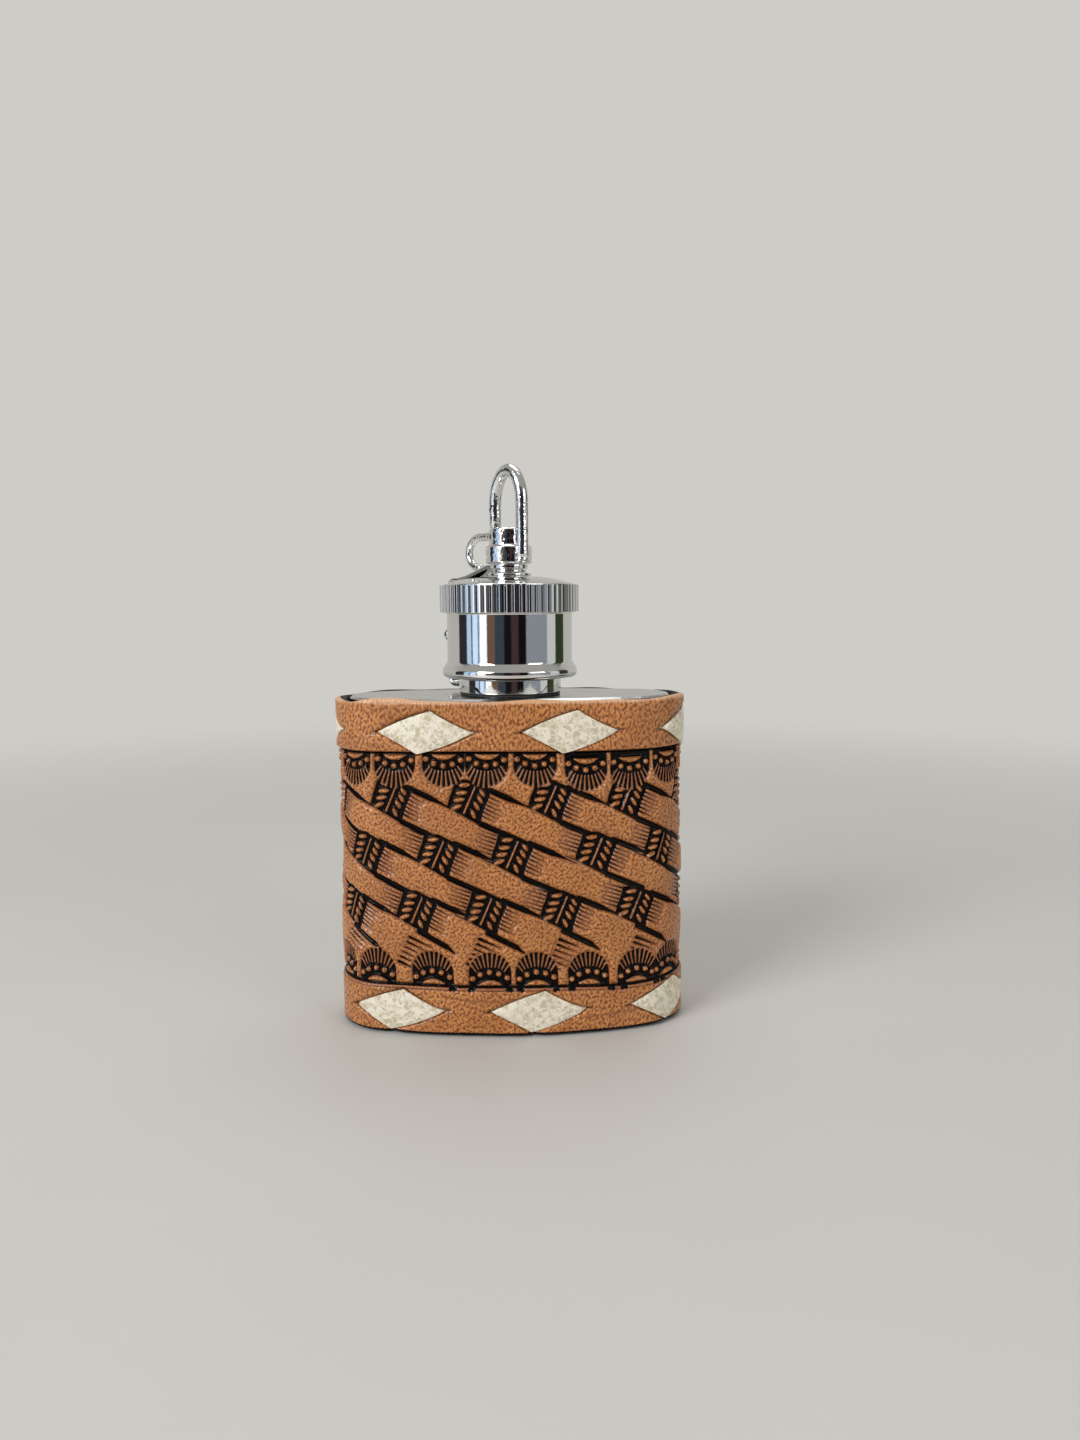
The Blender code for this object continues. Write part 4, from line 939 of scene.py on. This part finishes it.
def diamond_edges(x):
    """Upper and lower edge of the visible part of a lace, in millimetres from its middle line."""
    def edge(peak, height, bulge_left, bulge_right):
        left = (x + DIAMOND_HALF) / (peak + DIAMOND_HALF)
        right = (DIAMOND_HALF - x) / (DIAMOND_HALF - peak)
        share = np.clip(np.where(x < peak, left, right), 0.0, 1.0)
        bulge = np.where(x < peak, bulge_left, bulge_right)
        return height * share + bulge * 4 * share * (1 - share)
    return edge(0.95, 2.95, 0.28, -0.22), -edge(-1.15, 2.95, -0.10, 0.30)


def diamond_gap(x, y):
    """Distance to the visible part of a lace, below 0 inside."""
    upper, lower = diamond_edges(x)
    gap = np.maximum(y - upper, lower - y) * 0.9
    beyond = np.abs(x) - DIAMOND_HALF
    return np.where(beyond > 0, np.hypot(beyond, y), gap)


def cover_rows(hide, lift):
    """The rings of the cover: the heights, lifts, dye and pebbles of each, all the way round.

    They go up the face and over the rim, down the inside and back under the foot.
    """
    along = hide.along
    wave = along * TAU / GIRTH
    wavy = 0.12 * np.sin(5 * wave + 0.6) + 0.08 * np.sin(11 * wave)
    wavy += 0.35 * np.exp(-((along + 15.5) / 4.0) ** 2) - 0.35 * np.exp(-((along + 23.5) / 2.5) ** 2)
    rows = []
    for index, height in enumerate(hide.up):
        share = smooth(height, 41.0, COVER_TOP - TOP_ROUND)
        rows.append((height + wavy * share, lift[index], hide.dye[index], hide.pebbles[index]))
    top, foot = COVER_TOP + wavy, COVER_FOOT
    # The dye's mark is above 0 on bare leather and below 0 on dyed leather.
    tan, black = 0.3, -0.3
    for turn in np.radians((20, 40, 60, 78)):
        rows.append((top - TOP_ROUND + TOP_ROUND * math.sin(turn),
                     lift[-1] - TOP_ROUND + TOP_ROUND * math.cos(turn), tan, hide.pebbles[-1]))
    rows += [(top, lift[-1] - 0.62, tan * 0.4, 0.0), (top - 0.02, -0.85, black, 0.0),
             (top - 0.08, -1.4, black, 0.0), (top - 0.5, -LEATHER_THICK, black, 0.0),
             (foot + 0.3, -LEATHER_THICK, black, 0.0), (foot + 0.02, -1.4, black, 0.0)]
    for turn in np.radians((85, 65, 42, 20)):
        rows.append((foot + FOOT_ROUND - FOOT_ROUND * math.sin(turn),
                     lift[0] - FOOT_ROUND + FOOT_ROUND * math.cos(turn), black, hide.pebbles[0]))
    table = np.array([[np.broadcast_to(part, along.shape) for part in row] for row in rows])
    return table.transpose(1, 0, 2)


def cover_panels(settings, laces):
    """Build the tooled leather as four panels that meet edge to edge."""
    hide = Hide(settings)
    height, reach, dye, pebbles = cover_rows(hide, hide.model(laces))
    x, y = outline(np.broadcast_to(hide.along, height.shape), reach)
    points = np.stack((x, y, height), axis=2)
    across = np.roll(points, -1, 1) - np.roll(points, 1, 1)
    upward = np.roll(points, -1, 0) - np.roll(points, 1, 0)
    normals = np.cross(across, upward)
    normals /= np.linalg.norm(normals, axis=2)[:, :, None]
    ladder = np.concatenate(([0.0], np.cumsum(np.minimum(
        np.hypot(np.diff(height[:, 0]), np.diff(reach[:, 0])), 0.5))))
    ladder /= ladder[-1] * 1.01

    quarter = hide.count // 4
    first = np.searchsorted(hide.along, PANEL_START)
    count = quarter + 1
    total = len(height)
    grid = np.arange(total * count).reshape(total, count)
    after = np.roll(grid, -1, 0)
    quads = np.stack((grid[:, :-1], grid[:, 1:], after[:, 1:], after[:, :-1]), axis=2)
    faces = quads.reshape(-1, 4).tolist() + [grid[:, 0].tolist(), grid[::-1, -1].tolist()]
    sheet = np.stack(np.meshgrid(np.linspace(0.005, 0.995, count), ladder), axis=2).reshape(-1, 2)
    names = ("leather_left", "leather_front", "leather_right", "leather_back")
    for number, name in enumerate(names):
        columns = (first + number * quarter + np.arange(count)) % hide.count
        panel = new_object(name, points[:, columns].reshape(-1, 3), faces)
        mesh = panel.data
        mesh.shade_smooth()
        mesh.normals_split_custom_set_from_vertices(normals[:, columns].reshape(-1, 3).tolist())
        for key, values in (("dye", dye), ("pebbles", pebbles)):
            mark = mesh.attributes.new(key, "FLOAT", "POINT")
            mark.data.foreach_set("value", values[:, columns].ravel().astype(np.float32))
        corners = np.empty(len(mesh.loops), np.int32)
        mesh.loops.foreach_get("vertex_index", corners)
        layer = mesh.uv_layers.new(name="OFBake")
        layer.data.foreach_set("uv", sheet[corners].ravel().astype(np.float32))
        settle(panel, "flask", "leather", "leather_cover")


def lace_strip(name, node, start, middle):
    """One endless lace: diamonds outside, narrow runs behind the leather between them."""
    pitch = GIRTH / DIAMONDS
    steps = 84
    local = (np.arange(steps) + 0.5) / steps * pitch - pitch / 2
    upper, lower = diamond_edges(local)
    upper = np.maximum(upper, LACE_TIP)
    lower = np.minimum(lower, -LACE_TIP)
    hidden = smooth(np.abs(local), 5.9, 7.3)
    across = np.linspace(-1.0, 1.0, 13)
    crown = LACE_CROWN * (1 - across ** 2) ** 0.6 - 0.06
    rings = []
    for number in range(DIAMONDS):
        for index in range(steps):
            over = crown - hidden[index]
            level = np.where(across > 0, across * upper[index], -across * lower[index])
            face = np.concatenate((over, over[::-1][::3] - LACE_THICK))
            tall = np.concatenate((level, level[::-1][::3] * 0.96))
            place = start + number * pitch + local[index] + 0 * face
            place = (place + GIRTH / 2) % GIRTH - GIRTH / 2
            x, y = outline(place, face)
            rings.append(np.column_stack((x, y, middle + tall)))
    thing = polish(outwards(new_object(name, np.concatenate(rings), skin(rings, True))), 50)
    settle(thing, "flask", "lace", node)


class GeometryBook(NodeBook):
    """A Geometry Nodes tree with named inputs."""

    def __init__(self, name):
        tree = bpy.data.node_groups.new(name, "GeometryNodeTree")
        super().__init__(tree)
        tree.interface.new_socket("Geometry", in_out="OUTPUT", socket_type="NodeSocketGeometry")
        self.inlet = tree.nodes.new("NodeGroupInput")
        self.outlet = tree.nodes.new("NodeGroupOutput")
        self.values = {}

    def sizes(self, **inputs):
        """Named inputs, with their values for this piece."""
        names = {key: key.replace("_", " ") for key in inputs}
        for key, value in inputs.items():
            kind = "NodeSocketInt" if isinstance(value, int) else "NodeSocketFloat"
            socket = self.tree.interface.new_socket(names[key], in_out="INPUT", socket_type=kind)
            self.values[socket.identifier] = value
        return [Value(self, self.inlet.outputs[name]) for name in names.values()]

    def vector(self, x, y, z):
        return self.node("ShaderNodeCombineXYZ", None, {0: x, 1: y, 2: z})

    def sweep(self, curve, profile):
        """Sweep a profile along a curve."""
        return self.node("GeometryNodeCurveToMesh", None,
                         {"Curve": curve, "Profile Curve": profile, "Fill Caps": True})

    def wire(self, curve, radius, steps):
        """Sweep a round wire along a curve."""
        return self.sweep(curve, self.node("GeometryNodeCurvePrimitiveCircle", None,
                                           {"Resolution": steps, "Radius": radius}))

    def grow(self, name, geometry, material):
        """End the tree and turn what it makes into a plain mesh, smoothly shaded."""
        real = self.node("GeometryNodeRealizeInstances", None, {0: geometry})
        done = self.node("GeometryNodeSetMaterial", None,
                         {"Geometry": real, "Material": finish(material)})
        self.tree.links.new(done.socket, self.outlet.inputs[0])
        thing = placed(name, bpy.data.meshes.new(name))
        modifier = thing.modifiers.new(name, "NODES")
        modifier.node_group = self.tree
        for identifier, value in self.values.items():
            modifier[identifier] = value
        plain(thing).data.shade_smooth()
        return thing


def knurl_ribs(settings):
    """Rounded grip ribs, set round the cap by Geometry Nodes."""
    book = GeometryBook("Grip ribs")
    count, width, deep, reach, foot, top = book.sizes(
        Rib_count=settings.ribs, Rib_width=settings.rib_width, Rib_depth=0.6 * MM,
        Reach=9.9 * MM, Foot=59.08 * MM, Top=62.82 * MM)
    line = book.node("GeometryNodeCurvePrimitiveLine", None,
                     {"Start": book.vector(0.0, 0.0, foot), "End": book.vector(0.0, 0.0, top)})
    fine = book.node("GeometryNodeResampleCurve", None, {"Curve": line, "Count": 17})
    share = book.node("GeometryNodeSplineParameter", output="Factor")
    end = (share * (1.0 - share) * 26.0).least(1.0)
    shaped = book.node("GeometryNodeSetCurveRadius", None,
                       {"Curve": fine, "Radius": (end ** 0.5).most(0.02)})
    oblong = book.node("GeometryNodeCurvePrimitiveQuadrilateral", None,
                       {"Width": width, "Height": deep})
    section = book.node("GeometryNodeFilletCurve", {"mode": "POLY"},
                        {"Curve": oblong, "Count": 3, "Radius": width * 0.20})
    places = book.node("GeometryNodeMeshCircle", None,
                       {"Vertices": count, "Radius": reach - deep * 0.5})
    facing = book.node("FunctionNodeAlignRotationToVector", {"axis": "Y"},
                       {"Vector": book.node("GeometryNodeInputPosition")})
    set_out = book.node("GeometryNodeInstanceOnPoints", None, {
        "Points": places, "Instance": book.sweep(shaped, section), "Rotation": facing})
    return book.grow("cap_ribs", set_out, "chrome")


def gate_coil(settings):
    """The small coil spring under the gate's heel, made by Geometry Nodes."""
    book = GeometryBook("Gate coil")
    turns, radius, wire, rise = book.sizes(
        Turns=settings.spring_turns, Coil_radius=0.65 * MM, Wire_radius=0.07 * MM, Rise=1.1 * MM)
    spiral = book.node("GeometryNodeCurveSpiral", None,
                       {"Resolution": 32, "Rotations": turns, "Start Radius": radius,
                        "End Radius": radius, "Height": rise})
    moved = book.node("GeometryNodeTransform", None, {
        "Geometry": book.wire(spiral, wire, 8),
        "Translation": (0.6 * MM, 0.0, (SPRING_FOOT + 0.1) * MM)})
    return book.grow("gate_spring_coil", moved, "spring_steel")


def seam_stitches(settings):
    """Slanted stitches over the back seam, set along it by Geometry Nodes."""
    book = GeometryBook("Seam stitches")
    count, foot, pitch, reach, rise, thick = book.sizes(
        Stitch_count=settings.stitches, First_stitch=10.5 * MM, Pitch=3.38 * MM,
        Half_width=1.15 * MM, Half_rise=1.45 * MM, Thread_radius=0.3 * MM)
    back = (HALF_DEPTH - 0.2) * MM
    arch = book.node("GeometryNodeCurveQuadraticBezier", None, {
        "Resolution": 14, "Start": book.vector(reach, back - 0.5 * MM, rise * -1.0),
        "Middle": book.vector(0.0, back + 1.15 * MM, 0.0),
        "End": book.vector(reach * -1.0, back - 0.5 * MM, rise)})
    line = book.node("GeometryNodeMeshLine", None,
                     {"Count": count, "Start Location": book.vector(0.0, 0.0, foot),
                      "Offset": book.vector(0.0, 0.0, pitch)})
    set_out = book.node("GeometryNodeInstanceOnPoints", None,
                        {"Points": line, "Instance": book.wire(arch, thick, 10)})
    return book.grow("back_stitches", set_out, "thread")


class FlaskOperator:
    """What all the build steps share."""
    bl_options = {"REGISTER", "UNDO"}

    def execute(self, context):
        self.build(context)
        return {"FINISHED"}



class FLASK_OT_leather(FlaskOperator, Operator):
    """Build the tooled leather cover"""
    bl_idname = "flask.leather"
    bl_label = "Leather cover"

    def build(self, context):
        cover_panels(context.scene.flask_leather, [lace[2:] for lace in LACES])


class FLASK_OT_laces(FlaskOperator, Operator):
    """Lace both borders"""
    bl_idname = "flask.laces"
    bl_label = "Border laces"

    def build(self, context):
        for lace in LACES:
            lace_strip(*lace)


class FLASK_OT_seam(FlaskOperator, Operator):
    """Stitch the back seam"""
    bl_idname = "flask.seam"
    bl_label = "Back seam"

    def build(self, context):
        settle(seam_stitches(context.scene.flask_leather), "flask", "thread", "seam_thread")


class FLASK_OT_cap(FlaskOperator, Operator):
    """Turn the screw cap and set its grip ribs"""
    bl_idname = "flask.cap"
    bl_label = "Screw cap"

    def build(self, context):
        corners = [(8.39, 49.9, 0.05), (9.32, 49.9, 0.2), (9.66, 50.25, 0.3), (9.66, 51.0, 0.4),
                   (9.28, 51.5, 0.4), (8.94, 52.05, 0.6), (8.94, 58.95, 0.2), (9.55, 59.0, 0.08),
                   (9.32, 59.15, 0.05), (9.32, 62.70, 0.10), (9.28, 62.95, 0.15)]
        for step in range(1, 9):
            share = step / 8
            corners.append((9.2 - 5.8 * share, 62.98 + 1.02 * math.sin(share * math.pi / 2), 0.3))
        corners += [(1.38, 64.0, 0.06), (1.38, 63.2, 0.05), (3.4, 63.2, 0.05), (8.39, 62.1, 0.1)]
        shell = polish(turned("cap_turned_shell", rounded(corners), 128))
        ribs = knurl_ribs(context.scene.flask_fittings)
        ribs.data.set_sharp_from_angle(angle=math.radians(50))
        settle(shell, "cap", "chrome", "cap_shell")
        settle(ribs, "cap", "chrome")


class FLASK_OT_captive(FlaskOperator, Operator):
    """Build the captive collar, the hinge and the arm"""
    bl_idname = "flask.captive"
    bl_label = "Captive strap"

    def build(self, context):
        parts = [turned("collar_ring", ring_profile(6.55, 7.32, 47.72, 49.72, 0.14), 96)]
        path = rounded([(6.9, 48.22), (STRAP_OUT, 48.22, 1.0), (STRAP_OUT, 54.75)], closed=False,
                       step=10)
        parts.append(bar("collar_tab", path, strap_section(STRAP_THICK, STRAP_WIDTH)))
        for side in (-1, 1):
            prong = bar("collar_prong", [(STRAP_OUT, 54.3), HINGE],
                        strap_section(STRAP_THICK, 1.2, 0.1))
            prong.data.transform(Matrix.Translation((0, side * 1.5 * MM, 0)))
            low, high = sorted((side * 1.05, side * 2.3))
            parts += [prong, turned("collar_knuckle", ring_profile(0.5, 0.85, low, high, 0.1), 28,
                                    HINGE)]
        collar = polish(join("captive_collar_ring", *parts))
        pin = polish(turned("hinge_rivet", rounded([
            (0.0, -2.78, 0), (0.42, -2.74, 0.15), (0.56, -2.6, 0.1), (0.56, -2.4, 0.05),
            (0.4, -2.4, 0.03), (0.4, 2.4, 0.03), (0.56, 2.4, 0.05), (0.56, 2.6, 0.1),
            (0.42, 2.74, 0.15), (0.0, 2.78, 0)]), 28, HINGE))
        path = rounded([(STRAP_OUT, 56.45), (STRAP_OUT, 63.7, 2.0), (8.9, 63.7, 0.3), (7.2, 64.0, 2.0),
                        (3.3, 65.2, 1.0), (2.6, 65.4, 0.8), (1.45, 65.4)], closed=False, step=9)
        strap = bar("arm_strap", path, strap_section(STRAP_THICK, STRAP_WIDTH))
        carve(strap, turned("arm_hole", pin_profile(SWIVEL_BORE, 64.5, 66.5, 0.05), 40))
        arm = polish(join(
            "captive_arm_strap", strap,
            bar("arm_tongue", [HINGE, (STRAP_OUT, 56.9)], strap_section(STRAP_THICK, 1.75, 0.1)),
            turned("arm_knuckle", ring_profile(0.5, 0.85, -0.9, 0.9, 0.1), 28, HINGE),
            turned("arm_eye", ring_profile(SWIVEL_BORE, 2.7, 65.1, 65.7, 0.13), 64)))
        for thing, node in ((collar, "captive_collar"), (pin, "hinge_pin"), (arm, "captive_arm")):
            settle(spun(thing, ARM_TURN), "captive", "chrome", node)


class FLASK_OT_swivel(FlaskOperator, Operator):
    """Turn the rivet, washer and bush of the swivel"""
    bl_idname = "flask.swivel"
    bl_label = "Swivel"

    def build(self, context):
        washer = turned("swivel_washer_disc", ring_profile(SWIVEL_BORE, 3.2, 64.1, 64.5, 0.14), 72)
        bush = turned("swivel_bush_disc", ring_profile(SWIVEL_BORE, 2.5, 64.6, 65.0, 0.14), 72)
        rivet = turned("swivel_rivet_pin", rounded([
            (0.0, 62.3, 0), (2.4, 62.3, 0.15), (2.4, 63.1, 0.15), (1.2, 63.1, 0.05),
            (1.2, 67.1, 0.05), (1.6, 67.1, 0.1), (1.6, 67.45, 0.25), (0.9, 67.6, 0.4),
            (0.0, 67.6, 0)]), 48)
        for thing, slot, node in ((washer, "chrome", "swivel_washer"),
                                  (bush, "chrome", "swivel_bush"),
                                  (rivet, "steel", "swivel_rivet")):
            settle(polish(thing), "cap", slot, node)


class FLASK_OT_hook(FlaskOperator, Operator):
    """Build the snap hook, its gate and its spring"""
    bl_idname = "flask.hook"
    bl_label = "Snap hook"

    def build(self, context):
        barrel = turned("hook_barrel", rounded([
            (SWIVEL_BORE, 65.8, 0.05), (3.05, 65.8, 0.15), (3.27, 66.05, 0.15), (3.27, 68.15, 0.25),
            (2.95, 68.45, 0.15), (2.77, 68.5, 0.05), (2.77, 70.6, 0.2), (2.5, 70.83, 0.15),
            (1.8, 70.83, 0.1), (1.8, 67.0, 0.05), (SWIVEL_BORE, 67.0, 0.05)]), 72)
        slot = block("clevis_slot", (-4.5, -SLOT_HALF, 68.53), (1.8, SLOT_HALF, 72.0))
        hole = turned("clevis_hole", pin_profile(0.46, -4.0, 4.0, 0.05), 28, GATE_PIVOT)
        carve(barrel, slot, hole)
        path = [(WIRE_OUT, height) for height in (66.68, 67.3, 68.4, 72.0)]
        path += ellipse((0.0, 74.2), (WIRE_OUT, 4.7), 0, 180, 40).tolist()
        path += [(-WIRE_OUT, 73.9)]
        taper = [1.12, 1.12, 1.0] + [1.0] * (len(path) - 3)
        bow = bar("hook_bow", path, round_section(0.9, 24), taper, mitred=True, domed=(True, False))
        hook = polish(join("hook_casting", barrel, bow))
        pin = turned("gate_rivet", pin_profile(0.42, -2.56, 2.56, 0.12), 28, GATE_PIVOT)
        boss = turned("gate_boss", ring_profile(0.52, 1.0, -0.7, 0.7, 0.12), 36, GATE_PIVOT)
        path = [(-WIRE_OUT, height) for height in (69.6, 70.9, 71.4, 72.6, 73.62)]
        arm = bar("gate_arm", path, round_section(0.85), (0.8, 0.8, 1.0, 1.0, 1.0),
                  mitred=True, domed=(True, False))
        heel = bar("gate_heel", [(-WIRE_OUT, 69.5), (-1.9, 69.5)], strap_section(0.8, 1.3, 0.1))
        toe = bar("gate_toe", [(-0.2, 69.5), (1.2, 69.5)], strap_section(0.75, 1.3, 0.1))
        path = rounded([(-2.7, 69.55), (-4.6, 69.85, 2.0), (-6.7, 69.85, 0.5)], closed=False,
                       step=8).tolist()[:-1]
        path += ellipse((-6.7, 67.625), (2.65, 2.225), 90, 270, 30).tolist()
        tail = bar("gate_tail", path, round_section(0.58, 18), domed=(True, True))
        gate = polish(join("gate_casting", boss, arm, heel, toe, tail))
        coil = gate_coil(context.scene.flask_fittings)
        settle(spun(hook, HOOK_TURN), "hook", "chrome", "hook_body", look="cast_chrome")
        settle(spun(polish(pin), HOOK_TURN), "hook", "steel", "gate_pin")
        spring = settle(spun(coil, HOOK_TURN), "hook", "spring_steel", "gate_spring")
        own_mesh(spring)
        settle(spun(gate, HOOK_TURN), "gate", "chrome", "gate_lever", look="cast_chrome")


class FLASK_OT_inner(FlaskOperator, Operator):
    """Give the pieces that stay as packed their materials"""
    bl_idname = "flask.inner"
    bl_label = "Inner pieces"

    def build(self, context):
        slots = {row["node"]: row["material_slot"] for row in frame["record"]["subparts"]}
        for name, node in frame["nodes"].items():
            dress(node, slots[name])


# Pale and dark cards round the stage: bearings in degrees from the camera, and their colours.
CARDS = ((-180, -105, (0.52, 0.505, 0.47)), (-105, -84, (0.03, 0.03, 0.035)),
         (-84, -74, (0.55, 0.72, 0.95)), (-74, -71, (0.10, 0.12, 0.16)),
         (-71, -60, (0.75, 0.95, 1.25)), (-60, -56, (0.25, 0.32, 0.42)),
         (-56, -42, (1.30, 1.38, 1.45)), (-42, -27, (0.17, 0.10, 0.07)),
         (-27, -10, (0.045, 0.06, 0.08)), (-10, 3, (0.008, 0.008, 0.010)),
         (3, 16, (0.06, 0.035, 0.035)), (16, 30, (0.006, 0.006, 0.008)),
         (30, 72, (0.27, 0.29, 0.33)), (72, 92, (0.62, 0.62, 0.62)),
         (92, 116, (0.035, 0.05, 0.02)), (116, 180, (0.52, 0.505, 0.47)))
# Half the floor's width in millimetres.
FLOOR_HALF = 450
# How far each card's edges are drawn in, in degrees, so that it fades into the next.
CARD_BLUR = 0.8
# Soft lamps: name, place and size in metres, share of the key's power, colour.
LAMPS = (("key", (-0.44, -0.42, 0.40), 0.30, 1.0, (1.0, 0.99, 0.98)),
         ("fill", (0.46, -0.40, 0.26), 0.30, 0.24, (1.0, 0.96, 0.90)),
         ("top", (0.05, 0.12, 0.60), 0.40, 0.30, (1.0, 1.0, 1.0)))
LAMP_AIM = Vector((0.0, 0.0, 0.04))
# Where the photograph was taken from: place in metres, angles in degrees, lens in millimetres.
CAMERA_PLACE = (0.0, -0.1498, 0.0611)
CAMERA_YAW, CAMERA_PITCH, CAMERA_ROLL = (math.radians(angle) for angle in (1.636, 6.74, 0.4))
CAMERA_LENS = 26.0


class FLASK_OT_stage(FlaskOperator, Operator):
    """Set the floor, the soft light and the camera"""
    bl_idname = "flask.stage"
    bl_label = "Stage"

    def build(self, context):
        scene = context.scene
        settings = scene.flask_stage
        scene.view_settings.view_transform = "Standard"
        corners = [(x, y, 0) for x, y in ((-1, -1), (1, -1), (1, 1), (-1, 1))]
        floor = new_object("studio_floor", np.array(corners) * FLOOR_HALF, [(0, 1, 2, 3)])
        look = Finish("pale_floor", tuple(settings.floor), Roughness=0.55)
        look.feed(Base_Color=look.blend(look.noise(30.0, 3.0), shade(settings.floor, 0.98),
                                        shade(settings.floor, 1.02)))
        look.fade(tuple(settings.backdrop), 0.12, 0.40)
        floor.data.materials.append(look.material)
        self.light(scene, settings)
        self.camera(scene)

    def light(self, scene, settings):
        """Soft lamps, and an even world with the cards for the metal to show."""
        for name, place, size, share, colour in LAMPS:
            data = bpy.data.lights.new(name, "AREA")
            data.energy = settings.key_power * share
            data.size = size
            data.color = colour
            lamp = placed(name, data)
            lamp.location = place
            lamp.rotation_euler = (LAMP_AIM - lamp.location).to_track_quat("-Z", "Y").to_euler()
        world = bpy.data.worlds.new("studio")
        world.use_nodes = True
        scene.world = world
        book = NodeBook(world.node_tree)
        way = book.node("ShaderNodeTexCoord", output="Generated")
        across = book.node("ShaderNodeSeparateXYZ", None, {0: way}, "X")
        tall = across.output("Z")
        bearing = across.calc("ARCTAN2", across.output("Y") * -1.0) * (0.5 / math.pi) + 0.5
        stops = [((edge + 180) / 360, (*colour, 1.0)) for start, end, colour in CARDS
                 for edge in (start + CARD_BLUR, end - CARD_BLUR)]
        cards = book.node("ShaderNodeValToRGB", {"stops": stops}, {0: bearing})
        upright = tall.ease(-0.40, -0.20) * (1.0 - tall.ease(0.35, 0.65))
        pale = tuple(settings.backdrop)
        around = book.blend(upright, shade(pale, 0.62), cards)
        seen = book.node("ShaderNodeLightPath", output="Is Camera Ray")
        background = book.tree.nodes["Background"]
        book.tree.links.new(book.blend(seen, around, pale).socket, background.inputs["Color"])

    def camera(self, scene):
        """Stand the camera where the photograph was taken from."""
        data = bpy.data.cameras.new("camera")
        data.sensor_width = 36.0
        data.lens = CAMERA_LENS
        data.clip_start = 0.005
        data.clip_end = 20.0
        camera = placed("camera", data)
        turn = (Matrix.Rotation(-CAMERA_YAW, 4, "Z")
                @ Matrix.Rotation(math.pi / 2 - CAMERA_PITCH, 4, "X")
                @ Matrix.Rotation(-CAMERA_ROLL, 4, "Z"))
        camera.matrix_world = Matrix.Translation(CAMERA_PLACE) @ turn
        scene.camera = camera


STEPS = (FLASK_OT_inner, FLASK_OT_leather, FLASK_OT_laces, FLASK_OT_seam, FLASK_OT_cap,
         FLASK_OT_captive, FLASK_OT_swivel, FLASK_OT_hook, FLASK_OT_stage)


class FLASK_PT_panel(Panel):
    """Lists the build steps and their sizes"""
    bl_idname = "FLASK_PT_panel"
    bl_label = "Keychain flask"
    bl_space_type = "VIEW_3D"
    bl_region_type = "UI"
    bl_category = "Flask"

    def draw(self, context):
        layout = self.layout
        for group in ("flask_leather", "flask_fittings", "flask_stage"):
            settings = getattr(context.scene, group)
            box = layout.box()
            for key in settings.__annotations__:
                box.prop(settings, key)
        for step in STEPS:
            layout.operator(step.bl_idname)


GROUPS = {"flask_leather": LeatherSettings, "flask_fittings": FittingSettings,
          "flask_stage": StageSettings}


def register():
    for group in GROUPS.values():
        bpy.utils.register_class(group)
    for name, group in GROUPS.items():
        setattr(bpy.types.Scene, name, PointerProperty(type=group))
    for step in STEPS + (FLASK_PT_panel,):
        bpy.utils.register_class(step)


def unregister():
    for step in STEPS + (FLASK_PT_panel,):
        bpy.utils.unregister_class(step)
    for name, group in GROUPS.items():
        delattr(bpy.types.Scene, name)
        bpy.utils.unregister_class(group)


def main():
    """Run every build step in order."""
    register()
    for step in STEPS:
        name = step.bl_idname.split(".")[1]
        getattr(bpy.ops.flask, name)()


if __name__ == "__main__":
    main()
